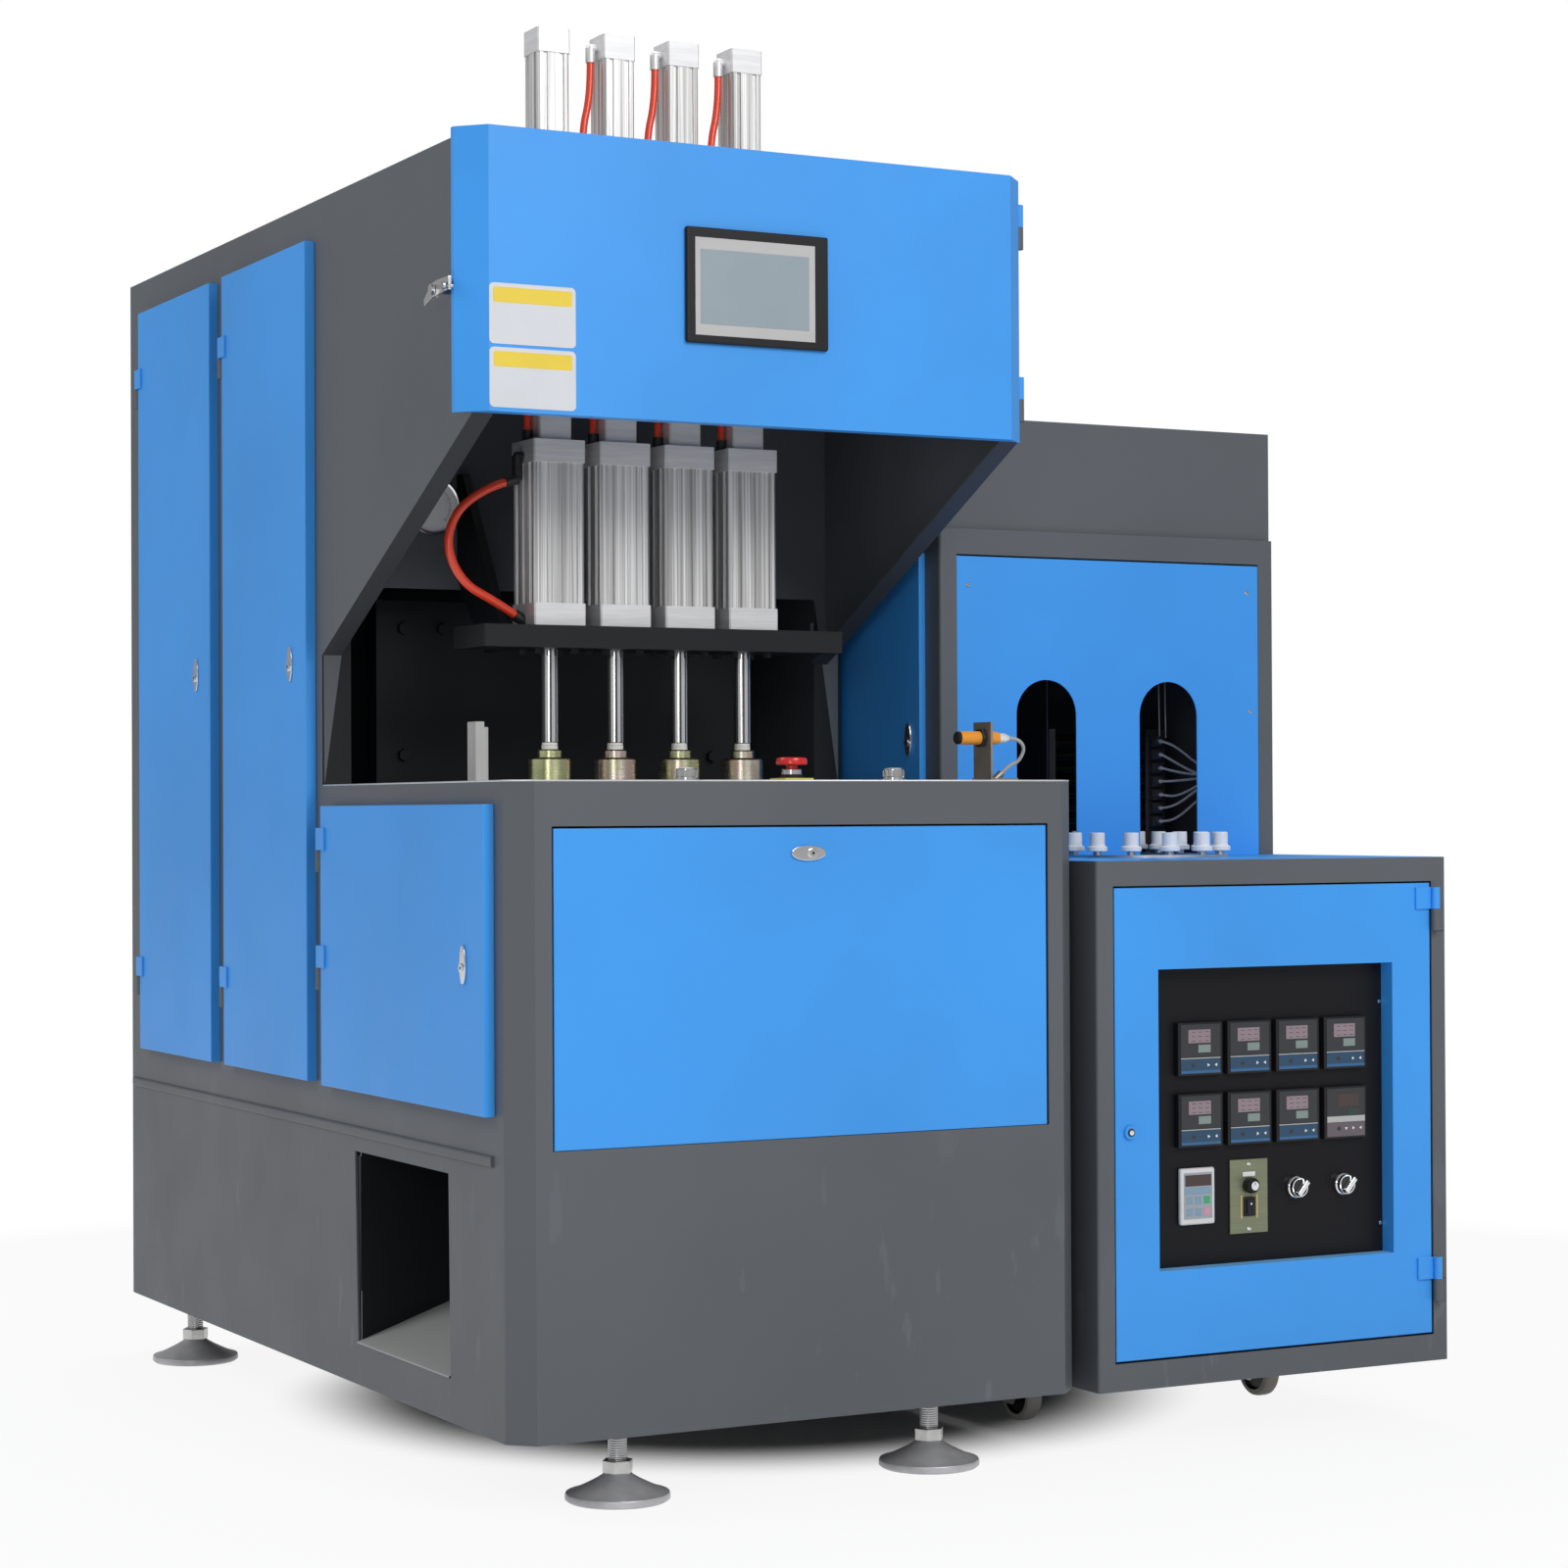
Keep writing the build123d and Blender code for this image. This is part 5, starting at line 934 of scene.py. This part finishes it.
# Both halves of the loop, a straight and a bend each, are alike about its middle
def loopPoint(share):
    radius = chain["radius"]
    straight = chain["rear"] - chain["front"]
    halfLoop = straight + math.pi * radius
    half, along = divmod(share * 2 * halfLoop, halfLoop)
    side = -1 if half else 1
    angle = max(0.0, along - straight) / radius
    x = radius * math.cos(angle)
    y = min(along, straight) - straight / 2 + radius * math.sin(angle)
    return chain["centre"] + side * x, (chain["front"] + chain["rear"]) / 2 + side * y


whiteAbove = chain["table"] + 9
dress("preform_chain", zincSheet, 0, [(mandrelWhite, lambda spot, normal: spot.z > whiteAbove)])
mandrelOutline = [(0, 9.2), (13.6, 9.2), (14.4, 10), (14.4, 15), (13.4, 16), (10.9, 16.6), (10.7, 34.6),
                  (10, 35.4), (0, 35.4)]
mandrels = Form()
for index in range(chain["count"]):
    x, y = loopPoint((index + chain["shift"]) / chain["count"])
    base = at(x, y, chain["table"])
    mandrels.turned(sleeve(0, 6.2, 4, 9.6), base, upward, pinSteel, 14)
    mandrels.turned(mandrelOutline, base, upward, mandrelWhite, 32)
mandrels.piece("white_mandrels", "machine")

# Dark sheets behind the gaps of the outlet and of the heating unit's door: painted shade in those gaps
gapShadeSheets = (
    ((5.3, 523.4, 140), (6.5, 550, 410), blackCoatAndShade),
    ((840, 8, 104), (1408, 170, 105.5), paintedShadeGrey),
)
shadeSheets = Form()
for low, high, material in gapShadeSheets:
    shadeSheets.block(at(*low), at(*high), material, 0.0002)
shadeSheets.piece("gap_shade_sheets", "machine")

# Clamp screws of the lamp holders, seen through the right arch, and thin rods above them
lamp = {"bottom": 840, "pitch": 20.3, "rows": 7, "x": 1310, "y": 552}
clampRings = (
    ([(0, 0), (7.4, 0), (7.4, 2), (6.4, 2.6), (0, 2.8)], holderGrey, 24),
    ([(0, 2.6), (5.2, 2.6), (5, 3.8), (0, 4)], pinSteel, 24),
    ([(0, 3.8), (2.8, 3.8), (2.6, 5.6), (0, 6)], leadWhite, 20),
)
leaningRods = {"places": ((1317, 560, -0.018), (1338, 574, -0.016)), "z": 968, "radius": 1.3, "length": 288}
clamps = Form()
for row in range(lamp["rows"]):
    z = lamp["bottom"] + row * lamp["pitch"]
    for x in (lamp["x"], 2 * chain["centre"] - lamp["x"]):
        for outline, material, steps in clampRings:
            clamps.turned(outline, at(x, lamp["y"], z), toFront, material, steps)
for x, y, tilt in leaningRods["places"]:  # thin rods above the holders
    lean = Matrix.Rotation(tilt, 4, "Y")
    clamps.prism(at(x, y, leaningRods["z"]), leaningRods["radius"], 12, leaningRods["length"], lean, pinSteel)
clamps.prism(at(1108.4, 551, 791), 0.8, 10, 465, upward, pinSteel)  # upright rod between the arches
clamps.piece("lamp_clamps", "machine")
print("mandrels and lamp clamps made")


def smoothLine(name, route, diameter, material, swaps=()):
    curve = bpy.data.curves.new(name, "CURVE")
    curve.dimensions = "3D"
    curve.resolution_u = 16
    curve.bevel_depth = diameter * mm / 2
    curve.bevel_resolution = 6
    curve.use_fill_caps = True
    spline = curve.splines.new("NURBS")
    spline.points.add(len(route) - 1)
    for point, spot in zip(spline.points, route):
        point.co = (*at(*spot), 1)
    spline.order_u = 3
    spline.use_endpoint_u = True
    curve.materials.append(material)
    made = shown(name, curve)
    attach(made, "machine")
    if swaps:
        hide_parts(*swaps)


blowFace = stationX[0] - 37
loopRoute = [
    (blowFace - 27, 450, 1302),
    (blowFace - 57, 450, 1292),
    (112, 450, 1259),
    (100, 450, 1210),
    (124, 450, 1164),
    (blowFace - 44, 450, 1142),
    (blowFace - 14, 450, 1124),
]
smoothLine("red_hose_loop", loopRoute, 12, hoseRed, ["air_hoses"])
backRoute = [
    (stationX[0] - 31, 450, 1373),
    (stationX[0] - 31, 450, 1445),
    (stationX[0] - 37, 468, 1516),
    (stationX[0] - 40, 522, 1562),
    (stationX[0] - 39, 588, 1570),
    (stationX[0] - 39, 654, 1570),
]
smoothLine("red_hose_1", backRoute, 10, hoseRed, ["air_hoses"])
for number, x in enumerate(stationX[1:], 2):
    low = x - 31
    top = x - 33
    route = [
        (low, 450, 1373),
        (low, 450, 1450),
        (low - 14, 450, 1560),
        (low - 10, 450, 1680),
        (low - 16, 450, 1780),
        (top, 450, 1836),
        (top, 450, 1879.5),
    ]
    smoothLine(f"red_hose_{number}", route, 10, hoseRed, ["air_hoses"])
cableRoute = [
    (eye["right"], eye["y"], eye["z"]),
    (763, 80, 953),
    (777, 84, 940),
    (771, 91, 922),
    (759.1, 93.9, 917.9),
    (747, 95.6, 907),
]
smoothLine("sensor_lead", cableRoute, 5, cableGrey, ["sensor_cable"])

# Lamp leads behind the right arch: from each terminal to the housing's right wall
lead = {"x": 1312, "y": 547, "wall": 1411, "diameter": 3.8}
leadEnds = (891, 903, 910, 907, 913, 911, 914)
leadSags = (3, 1, 7, 0, 5, 9, 2)
for row, (end, sag) in enumerate(zip(leadEnds, leadSags)):
    start = lamp["bottom"] + row * lamp["pitch"]
    drop = end - start
    x = lead["x"]
    y = lead["y"]
    leadRoute = [
        (x, y, start),
        (x + 12, y - 4, start - sag * 0.6 + drop * 0.04),
        (x + 30, y - 7, start - sag + drop * 0.24),
        (x + 58, y - 9, start - sag + drop * 0.66),
        (x + 80, y - 9, start + drop * 0.92),
        (lead["wall"], y - 8, end),
    ]
    smoothLine(f"lamp_lead_{row + 1}", leadRoute, lead["diameter"], leadWhite)
print("hoses and cable made")


# Stage: a pale floor that turns into the white background away from the machine
stageSize = {"half": 14.0, "edge": 1.8, "soft": 0.8, "lift": 0.9, "under": 0.58, "underSoft": 0.12}
floorMesh = bmesh.new()
bmesh.ops.create_grid(floorMesh, x_segments=1, y_segments=1, size=stageSize["half"])
floorData = bpy.data.meshes.new("floor")
floorMesh.to_mesh(floorData)
floorMesh.free()
floor = shown("floor", floorData)
floorPaint = Paint("floor_paint", (0.80, 0.80, 0.81), 0.8)
reach = floorPaint.node("ShaderNodeVectorMath", {"operation": "LENGTH"}, {0: floorPaint.place}, "Value")
sight = floorPaint.node("ShaderNodeLightPath", out="Is Camera Ray")
glossy = floorPaint.node("ShaderNodeLightPath", out="Is Glossy Ray")
seen = sight.maths("MAXIMUM", sight, glossy)
away = reach.above(stageSize["edge"], stageSize["soft"])
glow = floorPaint.node("ShaderNodeEmission", None, {"Color": (1, 1, 1, 1), "Strength": 1.0})
lifted = reach.above(stageSize["under"], stageSize["underSoft"]) * stageSize["lift"]
whitened = away.maths("MAXIMUM", away, lifted) * seen
lit = Wire(floorPaint, floorPaint.shader.outputs[0])
blend = floorPaint.node("ShaderNodeMixShader", None, {0: whitened, 1: lit, 2: glow})
output = floorPaint.tree.nodes["Material Output"]
floorPaint.feed(output.inputs["Surface"], blend)
floorData.materials.append(floorPaint.material)

world = bpy.data.worlds.new("studio")
bpy.context.scene.world = world
world.use_nodes = True
sky = world.node_tree
ambient = 0.33
dim = sky.nodes["Background"]
white = sky.nodes.new("ShaderNodeBackground")
for background, strength in ((dim, ambient), (white, 1.0)):
    background.inputs["Color"].default_value = (1, 1, 1, 1)
    background.inputs["Strength"].default_value = strength
path = sky.nodes.new("ShaderNodeLightPath")
eitherRay = sky.nodes.new("ShaderNodeMath")
eitherRay.operation = "MAXIMUM"
sky.links.new(path.outputs["Is Camera Ray"], eitherRay.inputs[0])
sky.links.new(path.outputs["Is Transmission Ray"], eitherRay.inputs[1])
either = sky.nodes.new("ShaderNodeMixShader")
sky.links.new(eitherRay.outputs[0], either.inputs[0])
sky.links.new(dim.outputs[0], either.inputs[1])
sky.links.new(white.outputs[0], either.inputs[2])
sky.links.new(either.outputs[0], sky.nodes["World Output"].inputs["Surface"])


def areaLight(name, place, aim, size, power):
    data = bpy.data.lights.new(name, "AREA")
    data.shape = "DISK"
    data.size = size
    data.energy = power
    light = shown(name, data)
    light.location = place
    light.rotation_euler = (aim - place).to_track_quat("-Z", "Y").to_euler()


focus = Vector((0, 0, 0.9))
areaLight("key", Vector((0.3, -5.6, 4.0)), focus, 3.2, 172)
areaLight("fill", Vector((-3.9, 0.9, 3.9)), focus, 2.6, 66)
areaLight("side", Vector((-3.2, -4.4, 1.5)), Vector((0.5, -0.4, 0.9)), 1.2, 16)
areaLight("top", Vector((0.5, 1.0, 5.0)), focus, 3.0, 80)

# Camera at the photograph's place
camera = {"place": (-1613, -3736, 856), "yaw": 27.95, "pitch": 0.484, "roll": -0.272, "lens": 77.6,
          "sensor": 36}
yaw, pitch, roll = (math.radians(camera[k]) for k in ("yaw", "pitch", "roll"))
forward = Vector((math.sin(yaw) * math.cos(pitch), math.cos(yaw) * math.cos(pitch), math.sin(pitch)))
across = Vector((math.cos(yaw), -math.sin(yaw), 0))
above = across.cross(forward)
right = across * math.cos(roll) + above * math.sin(roll)
upright = above * math.cos(roll) - across * math.sin(roll)
cameraData = bpy.data.cameras.new("camera")
cameraData.lens = camera["lens"]
cameraData.sensor_width = camera["sensor"]
cameraObject = shown("camera", cameraData)
turn = Matrix((right, upright, -forward)).transposed().to_4x4()
cameraObject.matrix_world = Matrix.Translation(at(*camera["place"])) @ turn
bpy.context.scene.camera = cameraObject
bpy.context.scene.view_settings.view_transform = "Standard"
print("stage, lights and camera made")

bpy.context.view_layer.update()
